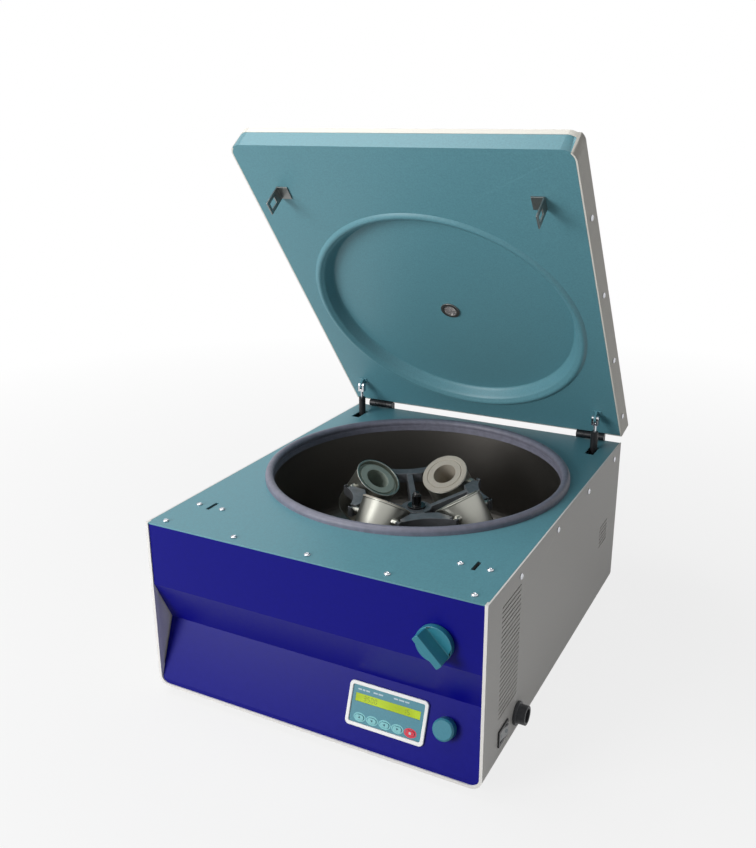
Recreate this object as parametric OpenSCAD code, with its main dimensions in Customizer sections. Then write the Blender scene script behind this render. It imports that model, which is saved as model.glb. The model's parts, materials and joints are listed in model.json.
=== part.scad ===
// Bench-top laboratory centrifuge with its lid open: a folded sheet-metal cabinet,
// a steel bowl with a swing-out rotor, a sprung lid and a rack-and-pinion lock.
// Origin: the rotor's spin axis at the plane the feet stand on.
// +X is the machine's right, -Y its front, +Z up. Millimetres.

/* [Cabinet] */
// Outer width of the wrap-round shell
body_w = 480; // [440:1:520]
// Depth of the shell from its front edge to its back edge
body_d = 585; // [560:1:640]
// Height of the shell, without the feet
body_h = 246.5; // [236:0.5:300]
// Distance from the front edge to the spin axis
spin_from_front = 324.5; // [315:0.5:340]
// Thickness of the folded sheets
sheet = 2; // [1.5:0.1:2.4]
// Outer radius of the shell's bottom corners
corner_r = 16; // [10:1:24]
// Width of the folded front edge of the shell
hem_w = 4; // [3:0.5:6]
// Depth of that folded edge
hem_d = 8; // [5:0.5:12]
// Height of the rubber feet
foot_h = 12; // [8:1:20]
// Diameter of the rubber feet
foot_d = 38; // [28:1:46]
// Distance from the shell's edges to the centre of a foot
foot_inset = 45; // [36:1:60]

/* [Front panel] */
// Distance of the panel's face behind the shell's front edge
panel_recess = 1.5; // [0.5:0.1:4]
// Height of the upright upper face
upper_face_h = 90.5; // [80:0.5:100]
// Height of the bevel that folds inwards below it
bevel_h = 64; // [56:0.5:72]
// Depth of the inward fold
bevel_in = 30; // [20:0.5:36]
// Distance of the keypad's centre from the shell's right side
keypad_inset = 133.6; // [128:0.1:150]
// Distance of the keypad's centre below the deep fold, along the slope
keypad_drop = 39; // [36:0.5:46]
// Width of the keypad's bezel
keypad_w = 108; // [104:0.5:116]
// Height of the keypad's bezel
keypad_h = 56; // [52:0.5:62]
// Width of the bezel's frame
bezel_w = 4.8; // [3.5:0.1:5.5]
// Height of the bezel in front of the panel
bezel_proud = 3; // [2:0.1:5]
// Width of the display window
lcd_w = 89; // [70:0.5:92]
// Height of the display window
lcd_h = 10; // [8:0.5:14]
// Centre of the display window above the keypad's centre
lcd_up = 8; // [6:0.5:11]
// Width of a key
key_w = 12; // [10:0.5:14]
// Height of a key
key_h = 6.6; // [5:0.2:8]
// Spacing of the keys
key_pitch = 17.5; // [16:0.1:18]
// Centre of the keys below the keypad's centre
key_down = 16; // [14:0.5:17]
// Travel of a key
key_travel = 0.5; // [0.3:0.1:0.6]
// Diameter of the setting dial
dial_d = 27.5; // [22:0.5:32]
// Height of the setting dial in front of the panel
dial_h = 12; // [9:0.5:16]
// Gap between the bezel and the setting dial
dial_gap = 11; // [8:0.5:15]

/* [Chamber] */
// Distance of the guard ring from the shell's sides
guard_gap = 17.8; // [12:0.1:24]
// Height of the gasket's skirt inside the bowl
skirt_h = 7; // [4:0.5:12]
// Depth of the bowl below the deck
bowl_depth = 161; // [156:0.5:164]
// Wall of the bowl
bowl_t = 1.2; // [1:0.1:1.6]
// Radius of the fold between the bowl's wall and its floor
bowl_corner = 38; // [26:1:44]
// Width of the rubber gasket
gasket_w = 12.5; // [11:0.1:15]
// Height of the gasket above the deck
gasket_h = 10; // [9:0.1:10.6]
// Wall of the guard ring that stands round the bowl
guard_t = 4; // [3:0.5:6]

/* [Rotor] */
// Azimuth of the first bucket
bucket_az = 78.8; // [60:0.1:90]
// Radius from the spin axis to the centre of a bucket's mouth
mouth_r = 73.3; // [70:0.1:76]
// Height of that centre below the deck
mouth_drop = 28.2; // [22:0.1:34]
// Angle between a hanging bucket and the upright
bucket_tilt = 34.2; // [28:0.1:38]
// Outer radius of a bucket's rim
rim_r = 36.2; // [34:0.1:36.6]
// Length of a bucket
bucket_l = 78; // [74:0.5:88]
// Wall of a bucket
bucket_t = 1.6; // [1.2:0.1:2.4]
// Radius of the tube hole in an adapter
tube_r = 17.8; // [12:0.1:22]
// Depth of the tube hole
tube_depth = 60; // [50:0.5:68]
// Radius of the trunnion pins
pin_r = 3.5; // [2.5:0.1:4.5]
// Distance of the pins below the mouth, along the bucket
pin_down = 22.7; // [19:0.1:26]
// Distance of the pins outwards from the bucket's own axis
pin_out = 13.2; // [9:0.1:15]
// Radius of the yoke's hub
hub_r = 23; // [20:0.5:30]
// Radius of the drive shaft
shaft_r = 8; // [6:0.1:9]

/* [Lid] */
// Angle between the open lid and the closed one
lid_open = 52.1; // [40:0.1:58]
// Overhang of the lid past each side of the shell
lid_over = 1; // [0.5:0.1:4]
// Overhang of the lid in front of the shell
lid_nose = 0.5; // [0:0.1:3]
// Thickness of the lid
lid_t = 38; // [34:0.5:46]
// Overhang of the lid's skin behind the inner plate
lid_tail = 22; // [16:0.5:26]
// Height of the turquoise strip across the lid's front
lid_strip = 26; // [20:0.5:28]
// Distance of the raised lip's outer foot outside the gasket's inner edge
lip_over = 2.5; // [1.5:0.1:4]
// Width of the lip and the slope inside it
lip_w = 23.9; // [20:0.1:28]
// Height of the raised lip
lip_h = 3.4; // [2:0.1:4]
// Depth of the dish
dish_depth = 18; // [10:0.5:20]
// Outer radius of the sight port's flange
port_r = 15; // [12:0.5:18]

/* [Hinges and struts] */
// Radius of a hinge barrel
barrel_r = 6.3; // [5:0.1:6.6]
// Length of a hinge barrel
barrel_l = 45.5; // [40:0.5:52]
// Distance of a hinge's centre from the shell's side
hinge_inset = 49; // [42:0.5:60]
// Distance of the hinge axis in front of the shell's back edge
hinge_back = 5; // [4:0.1:6]
// Height of the hinge axis above the deck
hinge_up = 7; // [6.8:0.1:7.4]
// Radius of a hinge pin
hinge_pin_r = 3; // [2:0.1:3.5]
// Distance of a strut from the shell's side
strut_inset = 32; // [29:0.1:34]
// Distance of the open strut's upper eye in front of the hinge axis
strut_eye_front = 43; // [40:0.1:46]
// Height of that eye above the hinge axis
strut_eye_up = 43.9; // [41:0.1:47]
// Height of a strut's foot above the chassis
strut_foot_up = 80; // [70:1:90]
// Radius of a strut's tube
strut_r = 5.8; // [5:0.1:6.4]
// Length of a strut's tube
strut_tube_l = 112; // [100:1:114]
// Radius of a strut's rod
rod_r = 3; // [2:0.1:3.5]

/* [Lock] */
// Distance of the lock knob from the shell's right side
lock_inset = 62; // [59:0.5:68]
// Height of the lock knob's axis above the upper fold
lock_up = 28; // [24:0.5:34]
// Diameter of the lock knob
knob_d = 46; // [38:0.5:47]
// Height of the lock knob in front of the panel
knob_h = 26; // [18:0.5:34]
// Pitch radius of the pinion
pinion_r = 10; // [9:0.1:11]
// Number of teeth on the pinion
pinion_teeth = 12; // [8:4:12]
// Distance of the strikers from the shell's sides
striker_inset = 47; // [43:0.5:50]
// Distance of the strikers in front of the guard ring
striker_gap = 20.2; // [16:0.1:26]
// Length of a striker below the lid
striker_l = 34; // [32:0.5:38]
// Width of a striker
striker_w = 21; // [18:0.5:22]
// Thickness of a striker
striker_t = 2; // [1.5:0.1:2.4]

/* [Right side] */
// Number of slots in the front vent
vent_rows = 24; // [12:1:26]
// Spacing of the vent slots
vent_pitch = 6.5; // [5:0.1:6.8]
// Length of a front vent slot
vent_l = 64; // [40:1:70]
// Height of a vent slot
vent_slot = 2; // [1.5:0.1:3.5]
// Width of the rocker switch, along the side
switch_w = 32; // [26:0.5:34]
// Height of the rocker switch
switch_h = 22; // [18:0.5:25]
// Tilt of the rocker each way
rocker_tilt = 8; // [5:0.5:9]
// Radius of the power inlet's flange
inlet_r = 15.5; // [14:0.5:19]
// Radius of the power inlet's socket
socket_r = 9; // [7:0.1:10]
/* [Hidden] */
$fn = 64;

// Clearances
fit = 0.05;        // running clearance of a pin in its bore
seat = 0.2;        // gap between pieces that seat side by side
play = 0.4;        // gap beside a moving piece
eps = 0.01;        // overlap of the volumes that a cut removes

// Cabinet
front_y = -spin_from_front;
back_y = body_d - spin_from_front;
deck_z = foot_h + body_h;
deck_under = deck_z - sheet;
floor_z = foot_h + sheet;
side_x = body_w/2;                   // outer face of the shell's sides
inner_x = side_x - sheet;
flange_h = 20;                       // folded edges of the sheets
rear_y = back_y - 1.6;               // outer face of the rear panel
chassis_t = 3;
chassis_z = floor_z + chassis_t;
chassis_w = body_w - 2*corner_r;
chassis_front = front_y + panel_recess + bevel_in + 8;
drive_size = [150, 44, 1.6];         // drive board
drive_inset = 30;                    // from the shell's side to the board
drive_gap = 8;                       // from the chassis plate's front edge
drive_up = 10;                       // height of its stand-offs
drive_tall = 25;                     // height of its heat sink

// Front panel: its fold lines, and the frame of the sloping lower face
panel_y = front_y + panel_recess;
panel_w = body_w - 2*hem_w - 2*seat;
fold_z = deck_z - upper_face_h;
deep_y = panel_y + bevel_in;
deep_z = fold_z - bevel_h;
chin_z = floor_z + hem_w + 4;
slope_angle = atan2(bevel_in, deep_z - chin_z);
slope_t = sheet*cos(slope_angle);
top_flange = 18;
front_screw_y = front_y + 15;
front_screw_x = [for (k = [-2:2]) k*(panel_w/2 - 18)/2];

// Keypad
face_w = keypad_w - 2*bezel_w;
face_h = keypad_h - 2*bezel_w;
face_t = 1.4;
window_inset = 2.4;                  // the panel's cut-out inside the face's edge
window_w = face_w - 2*window_inset;
window_h = face_h - 2*window_inset;
board_gap = 6;                       // from the panel's face to the display board
board_t = 1.6;
board_margin = 4.6;                  // from the cut-out to a stand-off
board_w = window_w + 4*board_margin;
board_h = window_h + 4*board_margin;
standoff_r = 2.4;
key_flange = 0.8;
key_proud = 2.4;
key_x = [for (k = [-2:2]) k*key_pitch];
keypad_x = side_x - keypad_inset;
dial_x = keypad_x + keypad_w/2 + dial_gap + dial_d/2;
dial_shaft_r = 3;
dial_down = keypad_drop - 3;
encoder_r = 4.5;
encoder_w = 14;
encoder_l = 9;

// Chamber, from the guard ring inwards
ring_r = side_x - guard_gap;         // outer radius of the guard ring
guard_r = ring_r - guard_t;
bowl_lip = ring_r - 1;               // edge of the bowl's flange under the deck
gasket_r = bowl_lip + 3 - gasket_w;  // inner radius of the gasket, its bulb past that flange
lip_step = 1;                        // the gasket's lip and skirt behind its bulb
lip_t = 2.6;
bowl_r = gasket_r + lip_step + lip_t - 0.7;
deck_hole_r = gasket_r + lip_step + lip_t + seat;
bowl_floor = deck_under - bowl_depth;
neck_r = 15;                         // neck of the motor
neck_gap = 9;                        // from the neck to the bowl's centre hole
cone_h = 15;                         // rise of the bowl's floor at its centre
cone_r = 50;
guard_top = deck_under - bowl_t - seat;
mount_ring_r = 80;
mount_h = 25;
mount_r = 12;
motor_plate_z = chassis_z + mount_h;
motor_plate_t = 5;
motor_plate_w = 150;
motor_r = 62;
motor_top = bowl_floor - 8;
neck_top = bowl_floor + cone_h + 6;

// Rotor
mouth_z = deck_z - mouth_drop;
pin_radius = mouth_r + pin_out*cos(bucket_tilt) + pin_down*sin(bucket_tilt);
pin_z = mouth_z + pin_out*sin(bucket_tilt) - pin_down*cos(bucket_tilt);
bucket_r = rim_r - 1.2;
corridor = rim_r + 3.8;              // half the width kept free for a bucket
boss_face = corridor - 1.5;          // outer face of a bucket's trunnion boss
boss_r = 5;
rim_h = 2;                           // height of a bucket's rim bead
horn_t = 7;
pin_end = corridor + horn_t - 0.6;
horn_end = pin_radius + pin_r + 3.6;
horn_top = pin_z + 5.6;
horn_bottom = pin_z - pin_r - 6;
head_mid = 96;                       // reach of the head between its horns
head_in = 76;                        // inner edge of the head
hub_top = mouth_z - 29;
hub_bottom = hub_top - 46;
web_t = 9;
nut_r = 7;
nut_h = 19;
cap_r = 5.6;
adapter_gap = 0.2;
cap_t = 1.6;                         // cap of the plain adapters, on the bucket's rim
collar_drop = 2.5;                   // collar of the sunk adapters, below that rim
collar_gap = 5;                      // from the collar to the bucket's wall
shoulder_drop = 6;                   // shoulder outside the collar, below the rim

// Lid, drawn closed and then turned open about the hinge axis
hinge_y = back_y - hinge_back;
hinge_z = deck_z + hinge_up;
plate_z = deck_z + gasket_h + 0.3;   // underside of the lid's inner plate, just over the gasket
plate_end = hinge_y - 4;             // its hinge end
lid_front = front_y - lid_nose;
lid_top = plate_z + lid_t;
lid_x = side_x + lid_over;           // outer face of the lid's sides
lid_w = 2*lid_x;
lip_r = gasket_r + lip_over;
skin_inner = lid_x - sheet;
tray_w = 2*skin_inner - 2*seat;
tray_rim = 22;
lid_screw_n = 4;
lid_screw_end = 34;                  // from the hinge end to the first screw
lid_screw_front = 119.6;             // from the lid's front to the last screw
lid_screw_pitch = (plate_end - lid_front - lid_screw_end - lid_screw_front)/(lid_screw_n - 1);
lid_screw_h = 16;
port_bore = port_r - 5;
port_tube = port_r - 2.6;

// Hinges: two fixed knuckles with one of the lid's between them
hinge_x = side_x - hinge_inset;
knuckle_l = barrel_l*0.44;
leaf_t = 3;
leaf_h = 38;
leaf_drop = rear_y - hinge_y;        // front face of the fixed leaves

// Struts, each along the line from its foot to its upper eye
strut_x = side_x - strut_inset;
eye_y = hinge_y - strut_eye_front;
eye_z = hinge_z + strut_eye_up;
foot_y = eye_y + 0.4;
strut_foot_z = chassis_z + strut_foot_up;
strut_len = norm([eye_y - foot_y, eye_z - strut_foot_z]);
strut_lean = atan2(foot_y - eye_y, eye_z - strut_foot_z);
fork_w = 10.5;
fork_gap = 4.2;
fork_pin_r = 2.5;
fork_l = 22;
fork_slot = 7;
stud_r = 2.3;
rod_top = 94;                       // from the upper eye to the rod's hidden end
rod_eye_r = 11.4;
rod_eye_bore = 8.6;                  // wide: it takes up the linkage's sideways play
rod_eye_t = 8;
foot_pin_r = 4;
tongue_t = fork_gap - 0.8;
tongue_w = 12;

// Lock
lock_x = side_x - lock_inset;
lock_z = fold_z + lock_up;
striker_x = side_x - striker_inset;
pitch = 2*PI*pinion_r/pinion_teeth;
tooth_add = 1.4;
tooth_ded = 1.9;
lock_shaft_r = 4;
bar_t = 8;
bar_y = -ring_r - striker_gap;
rack_h = 8;
rack_travel = PI*pinion_r/2;
bolt_h = 10;
window_l = 10;                       // the striker's window, along the lid
window_up = 14;                      // its height
window_tip = 5;                      // from the striker's tip to the window
bolt_z = plate_z - striker_l + window_tip + window_up/2;
bolt_reach = 8;                      // gap between a bolt at rest and its striker
arm_w = 8;
keeper_w = 50;
keeper_d = 31;
cheek_t = 3;
slot_w = striker_t + 3.4;
slot_l = striker_w + 3;
latch_screw_dx = 19;
latch_screw_y = bar_y - 4;
bracket_t = 2;
bracket_reach = 36;                  // from the lock's axis to the bracket's post side
bracket_post = 18;
bracket_side = 12;                   // from the lock's axis to its other side
bracket_half = 26;                   // half its height
disc_h = 8;

// Right side
side_screw_n = 4;
side_screw_front = 107.1;            // from the shell's front edge to the first screw
side_screw_back = 41.9;              // from the last screw to the back edge
side_screw_pitch = (body_d - side_screw_front - side_screw_back)/(side_screw_n - 1);
side_screw_drop = 14.5;              // below the deck
vent_front = 47;                     // from the shell's front edge to the front vent
vent_drop = 26;                      // from the deck to its first slot
vent_y = front_y + vent_front;
rear_vent_l = 44;
rear_vent_back = 56;                 // from the rear vent to the back edge
rear_vent_rows = 6;
rear_vent_up = 98;                   // its lowest slot above the shell's underside
rear_vent_y = back_y - rear_vent_back - rear_vent_l;
switch_up = 40;                      // the switch above the shell's underside
switch_y = vent_y + switch_w/2 + 1;
switch_z = foot_h + switch_up;
inlet_gap = 50;                      // between the centres of the switch and the inlet
inlet_y = switch_y + inlet_gap;
inlet_z = foot_h + switch_up - 3;
inlet_proud = 15;
contact_short = 8;                   // the contacts end this far inside the socket

screw_r = 4;
shank_r = 1.9;
head_h = 2.3;

// ---------- shared shapes ----------

// Outline of the U-shaped shell in the XZ plane: open top, rounded bottom corners
module u_outline(w, h, r) {
    translate([-w/2, r]) square([w, h - r]);
    translate([-w/2 + r, 0]) square([w - 2*r, r + eps]);
    for (s = [-1, 1]) translate([s*(w/2 - r), r]) circle(r);
}

// A wall t thick inside that outline
module u_wall(w, h, r, t) {
    difference() {
        u_outline(w, h, r);
        translate([0, t]) u_outline(w - 2*t, h, r - t);
    }
}

// Extrudes an XZ outline from y0 to y1
module along_y(y0, y1) {
    translate([0, y1, 0]) rotate([90, 0, 0]) linear_extrude(y1 - y0) children();
}

// Extrudes a YZ outline across the width w
module across_x(w) {
    translate([-w/2, 0, 0]) rotate([90, 0, 90]) linear_extrude(w) children();
}

// Rectangle with rounded corners, centred
module round_rect(w, h, r) {
    square([w - 2*r, h], center = true);
    square([w, h - 2*r], center = true);
    for (x = [-1, 1], y = [-1, 1]) translate([x*(w/2 - r), y*(h/2 - r)]) circle(r);
}

// Stadium, centred, lying along X
module stadium(w, h) {
    square([w - h, h], center = true);
    for (s = [-1, 1]) translate([s*(w - h)/2, 0]) circle(h/2);
}

// Box between two corners
module box(a, b) {
    translate(a) cube(b - a);
}

// Cylinder along X from x0 to x1
module rod_x(x0, x1, r) {
    translate([x0, 0, 0]) rotate([0, 90, 0]) cylinder(h = x1 - x0, r = r);
}

// Cylinder along Y from y0 to y1
module rod_y(y0, y1, r) {
    translate([0, y0, 0]) rotate([-90, 0, 0]) cylinder(h = y1 - y0, r = r);
}

// Pan-head screw pointing down, its head seated at z = 0
module screw(len) {
    cylinder(h = head_h*0.55, r = screw_r);
    translate([0, 0, head_h*0.55]) cylinder(h = head_h*0.45, r1 = screw_r, r2 = screw_r*0.62);
    translate([0, 0, -len]) cylinder(h = len + eps, r = shank_r);
}

// Hole for such a screw
module screw_hole(len) {
    translate([0, 0, -len - 1]) cylinder(h = len + 2, r = shank_r + fit);
}

// Mirrors its children to the other side as well
module both_sides() {
    children();
    mirror([1, 0, 0]) children();
}

// ---------- frames that groups of pieces are drawn in ----------

// The sloping lower face: X across, Z up the slope, -Y out of the panel
module on_slope() {
    translate([0, deep_y, deep_z]) rotate([-slope_angle, 0, 0]) children();
}

// The keypad's centre on that face
module on_keypad() {
    on_slope() translate([keypad_x, 0, -keypad_drop]) children();
}

// Prism of an XZ outline in a slope frame, from y0 to y1
module slope_prism(y0, y1) {
    along_y(y0, y1) children();
}

// Turns pieces drawn on the closed lid to its open rest pose
module lid_pose() {
    translate([0, hinge_y, hinge_z]) rotate([-lid_open, 0, 0])
        translate([0, -hinge_y, -hinge_z]) children();
}

// A bucket's own frame: Z out of its mouth, X outwards
module at_bucket(k) {
    rotate([0, 0, bucket_az + 90*k]) translate([mouth_r, 0, mouth_z])
        rotate([0, -bucket_tilt, 0]) children();
}

// A strut's own frame: Z along it, origin at its upper eye
module at_strut(side) {
    translate([side*strut_x, eye_y, eye_z]) rotate([strut_lean, 0, 0]) children();
}

// Places a child at each screw along the lid's side flanges, pointing inwards
module at_lid_screws() {
    for (side = [-1, 1], k = [0:lid_screw_n - 1])
        translate([side*lid_x, plate_end - lid_screw_end - k*lid_screw_pitch, plate_z + lid_screw_h])
            rotate([0, side*90, 0]) children();
}

// Places a child at each screw down the shell's sides
module at_side_screws() {
    for (side = [-1, 1], k = [0:side_screw_n - 1])
        translate([side*side_x, front_y + side_screw_front + k*side_screw_pitch, deck_z - side_screw_drop])
            rotate([0, side*90, 0]) children();
}

// Places a child at each screw in the deck
module at_deck_screws() {
    for (x = front_screw_x) translate([x, front_screw_y, deck_z]) children();
    for (side = [-1, 1], s = [-1, 1])
        translate([side*striker_x + s*latch_screw_dx, latch_screw_y, deck_z]) children();
}

// ---------- cabinet ----------

// Horizontal slots through the right side, stacked downwards from z
module vent_slots(y, z, rows, len) {
    for (k = [0:rows - 1])
        box([inner_x - 1, y, z - k*vent_pitch - vent_slot],
            [side_x + 1, y + len, z - k*vent_pitch]);
}

// One folded sheet: left side, bottom and right side
module wrap_shell() {
    color("gainsboro") difference() {
        union() {
            along_y(front_y, back_y)
                translate([0, foot_h]) u_wall(body_w, body_h, corner_r, sheet);
            along_y(front_y, front_y + hem_d)
                translate([0, foot_h]) u_wall(body_w, body_h, corner_r, hem_w);
        }
        vent_slots(vent_y, deck_z - vent_drop, vent_rows, vent_l);
        vent_slots(rear_vent_y, foot_h + rear_vent_up + rear_vent_rows*vent_pitch, rear_vent_rows,
            rear_vent_l);
        translate([side_x, switch_y, switch_z])
            cube([hem_d, switch_w - 3.6, switch_h - 3.6], center = true);
        translate([0, inlet_y, inlet_z]) rod_x(inner_x - 1, side_x + 1, inlet_r - 2.2);
        at_side_screws() screw_hole(2*sheet);
    }
}

// The blue front: upright face, bevel inwards to the deep fold, slope outwards to the chin
module front_panel() {
    fold_line = [[panel_y, deck_under], [panel_y, fold_z], [deep_y, deep_z], [panel_y, chin_z],
        [panel_y, foot_h]];
    back_line = [for (k = [len(fold_line) - 1:-1:0]) fold_line[k] + [sheet, 0]];
    color("midnightblue") difference() {
        intersection() {
            union() {
                across_x(panel_w) polygon(concat(fold_line, back_line));
                box([-panel_w/2, panel_y, deck_under - sheet], [panel_w/2, panel_y + top_flange, deck_under]);
            }
            along_y(front_y, deep_y + 2*hem_d) translate([0, foot_h + hem_w + seat])
                u_outline(panel_w, body_h, corner_r - hem_w);
        }
        on_keypad() slope_prism(-sheet, 3*sheet) square([window_w, window_h], center = true);
        on_slope() translate([dial_x, 0, -dial_down]) rod_y(-sheet, 3*sheet, encoder_r + seat);
        translate([lock_x, 0, lock_z]) rod_y(front_y, panel_y + 2*sheet, lock_shaft_r + play);
        for (x = front_screw_x) translate([x, front_screw_y, deck_z]) screw_hole(2*sheet);
    }
}

// The deck's strut slots, and the closed lid's upper eyes that they reach forward for
strut_slot_w = 2*strut_r + 2.6;
closed_eye_y = hinge_y - strut_eye_front*cos(lid_open) - strut_eye_up*sin(lid_open);
closed_eye_z = hinge_z - strut_eye_front*sin(lid_open) + strut_eye_up*cos(lid_open);
strut_slot_y0 = closed_eye_y - 9;
strut_slot_y1 = eye_y + strut_r + 3;

// The turquoise deck with its side flanges and the openings in it
module deck_panel() {
    half = inner_x - seat;
    flange_y = front_y + hem_d + seat;
    color("cadetblue") difference() {
        union() {
            box([-panel_w/2, panel_y - 0.6, deck_under], [panel_w/2, flange_y + 1, deck_z]);
            box([-half, flange_y, deck_under], [half, rear_y, deck_z]);
            for (s = [-1, 1]) translate([s*(half - sheet/2), 0, 0])
                box([-sheet/2, flange_y, deck_z - flange_h], [sheet/2, rear_y - sheet - seat, deck_under + eps]);
        }
        translate([0, 0, deck_under - 1]) cylinder(h = sheet + 2, r = deck_hole_r, $fn = 128);
        for (s = [-1, 1]) {
            translate([s*striker_x, bar_y, deck_z]) cube([slot_w, slot_l, 3*sheet], center = true);
            box([s*strut_x - strut_slot_w/2, strut_slot_y0, deck_under - 1],
                [s*strut_x + strut_slot_w/2, strut_slot_y1, deck_z + 1]);
        }
        at_deck_screws() screw_hole(sheet);
        at_side_screws() screw_hole(2*sheet);
    }
}

// The back sheet with its outlet slots
module rear_panel() {
    half = inner_x - seat;
    color("gainsboro") difference() {
        along_y(rear_y - sheet, rear_y) translate([0, floor_z])
            u_outline(2*half, deck_under - floor_z, corner_r - sheet);
        for (x = [-half*0.5, half*0.5], k = [0:8])
            box([x - half*0.2, rear_y - sheet - 1, deck_z - 90 - k*2*vent_pitch],
                [x + half*0.2, rear_y + 1, deck_z - 90 - k*2*vent_pitch + vent_pitch]);
    }
}

// Steel plate on the shell's floor that carries the drive
module chassis_plate() {
    color("lightgray")
        box([-chassis_w/2, chassis_front, floor_z], [chassis_w/2, rear_y - sheet - 4, chassis_z]);
}

// Tapered rubber feet
module feet() {
    color("dimgray") for (x = [-1, 1], y = [front_y + foot_inset, back_y - foot_inset])
        translate([x*(body_w/2 - foot_inset), y, 0])
            cylinder(h = foot_h, r1 = foot_d/2 - 2.5, r2 = foot_d/2);
}

// Pan-head screws of the deck and the shell's sides
module cabinet_screws() {
    color("silver") {
        at_deck_screws() screw(2*sheet);
        at_side_screws() screw(2*sheet);
    }
}

// ---------- chamber and drive ----------

// The bowl's section: t outside its inner surface
function bowl_line(t) = concat(
    [[bowl_lip, deck_under - t], [bowl_r + t, deck_under - t]],
    [for (a = [0:9:90]) [bowl_r - bowl_corner + (bowl_corner + t)*cos(a),
        bowl_floor + bowl_corner - (bowl_corner + t)*sin(a)]],
    [[cone_r, bowl_floor - t], [neck_r + neck_gap + 5, bowl_floor + cone_h - t],
        [neck_r + neck_gap, bowl_floor + cone_h - t]]);

// Reverses a list
function reversed(a) = [for (k = [len(a) - 1:-1:0]) a[k]];

// Spun steel bowl with a raised centre, hung by its flange under the deck
module chamber_bowl() {
    color("dimgray") rotate_extrude($fn = 128)
        polygon(concat(bowl_line(0), reversed(bowl_line(bowl_t))));
}

// Rubber gasket round the chamber's mouth: a bulb, a lip down to the bowl's flange and a skirt
module chamber_gasket() {
    bulb = gasket_w/2;
    lip_in = gasket_r + lip_step;
    color("slategray") rotate_extrude($fn = 128) {
        translate([lip_in, deck_under]) square([lip_t, sheet + eps]);
        translate([lip_in - 0.5, deck_under - skirt_h]) square([lip_t - 0.5, skirt_h + eps]);
        translate([lip_in, deck_z]) square([gasket_w - lip_step, max(gasket_h - bulb, 1)]);
        intersection() {
            translate([gasket_r + bulb, deck_z + gasket_h - bulb]) circle(bulb);
            translate([gasket_r, deck_z]) square([gasket_w, gasket_h]);
        }
    }
}

// Thick steel ring that would catch a broken rotor
module guard_ring() {
    color("gray") difference() {
        translate([0, 0, chassis_z]) cylinder(h = guard_top - chassis_z, r = guard_r + guard_t, $fn = 128);
        translate([0, 0, chassis_z - 1]) cylinder(h = body_h, r = guard_r, $fn = 128);
    }
}

// Brushless motor: mounting plate, ribbed can and neck
module motor_housing() {
    can_z = motor_plate_z + motor_plate_t;
    color("silver") difference() {
        union() {
            translate([-motor_plate_w/2, -motor_plate_w/2, motor_plate_z])
                cube([motor_plate_w, motor_plate_w, motor_plate_t]);
            translate([0, 0, chassis_z + 6]) cylinder(h = can_z - chassis_z - 6, r = motor_r - 12);
            translate([0, 0, can_z - eps]) cylinder(h = motor_top - can_z, r = motor_r - 4);
            for (a = [0:15:345]) rotate([0, 0, a])
                translate([motor_r - 6, -1.5, can_z - eps]) cube([6, 3, motor_top - can_z - 6]);
            translate([0, 0, motor_top - 1]) cylinder(h = neck_top - motor_top + 1, r = neck_r);
        }
        cylinder(h = body_h, r = shaft_r + fit);
    }
}

// Waisted rubber mounts under the motor plate
module motor_mounts() {
    color("dimgray") for (a = [45:90:315]) rotate([0, 0, a]) translate([mount_ring_r, 0, chassis_z]) {
        cylinder(h = mount_h/3, r1 = mount_r, r2 = mount_r - 3);
        translate([0, 0, mount_h/3 - eps]) cylinder(h = mount_h/3 + 2*eps, r = mount_r - 3);
        translate([0, 0, mount_h*2/3]) cylinder(h = mount_h/3, r1 = mount_r - 3, r2 = mount_r);
    }
}

// Rubber boot that closes the bowl's centre hole round the motor's neck
module shaft_boot() {
    hole = neck_r + neck_gap;
    rim_z = bowl_floor + cone_h;
    color("black") difference() {
        union() {
            translate([0, 0, rim_z - 8]) cylinder(h = 8 + eps, r = hole - seat);
            translate([0, 0, rim_z]) cylinder(h = 3, r = hole + 4);
            translate([0, 0, rim_z + 3 - eps]) cylinder(h = 3, r1 = hole, r2 = neck_r + 3);
        }
        cylinder(h = body_h, r = neck_r + fit);
    }
}

// Shaft from the motor to the rotor, with a shoulder under the hub and a stud for the nut
module drive_shaft() {
    color("silver") {
        translate([0, 0, chassis_z + 8]) cylinder(h = hub_top - chassis_z - 8, r = shaft_r);
        translate([0, 0, hub_bottom - 6]) cylinder(h = 6, r = shaft_r + 4);
        translate([0, 0, hub_top - eps]) cylinder(h = nut_h - 2, r = shaft_r/2);
    }
}

// Drive electronics on stand-offs: heat sink, transformer and capacitors
module drive_board() {
    corner = [-side_x + drive_inset, chassis_front + drive_gap, chassis_z + drive_up];
    post_r = 3;
    fin_n = 7;
    fin_t = 2;
    sink = [44, 34, 5];
    color("seagreen") union() {
        translate(corner) cube(drive_size);
        for (x = [post_r + 2, drive_size[0] - post_r - 2], y = [post_r + 2, drive_size[1] - post_r - 2])
            translate([corner[0] + x, corner[1] + y, chassis_z]) cylinder(h = drive_up + eps, r = post_r);
        translate([corner[0] + 12, corner[1] + 5, corner[2] + drive_size[2] - eps]) {
            cube(sink);
            for (k = [0:fin_n - 1]) translate([k*(sink[0] - fin_t)/(fin_n - 1), 0, sink[2] - eps])
                cube([fin_t, sink[1], drive_tall - sink[2]]);
            for (k = [0:2]) translate([58 + 20*k, 7, 0]) cylinder(h = drive_tall + 3, r = 8);
            translate([88, 17, 0]) cube([36, 18, drive_tall]);
        }
    }
}

// ---------- front panel fittings ----------

// White frame round the keypad
module keypad_bezel() {
    color("white") on_keypad() slope_prism(-bezel_proud, 0) difference() {
        round_rect(keypad_w, keypad_h, 6);
        round_rect(face_w, face_h, 2);
    }
}

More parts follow.
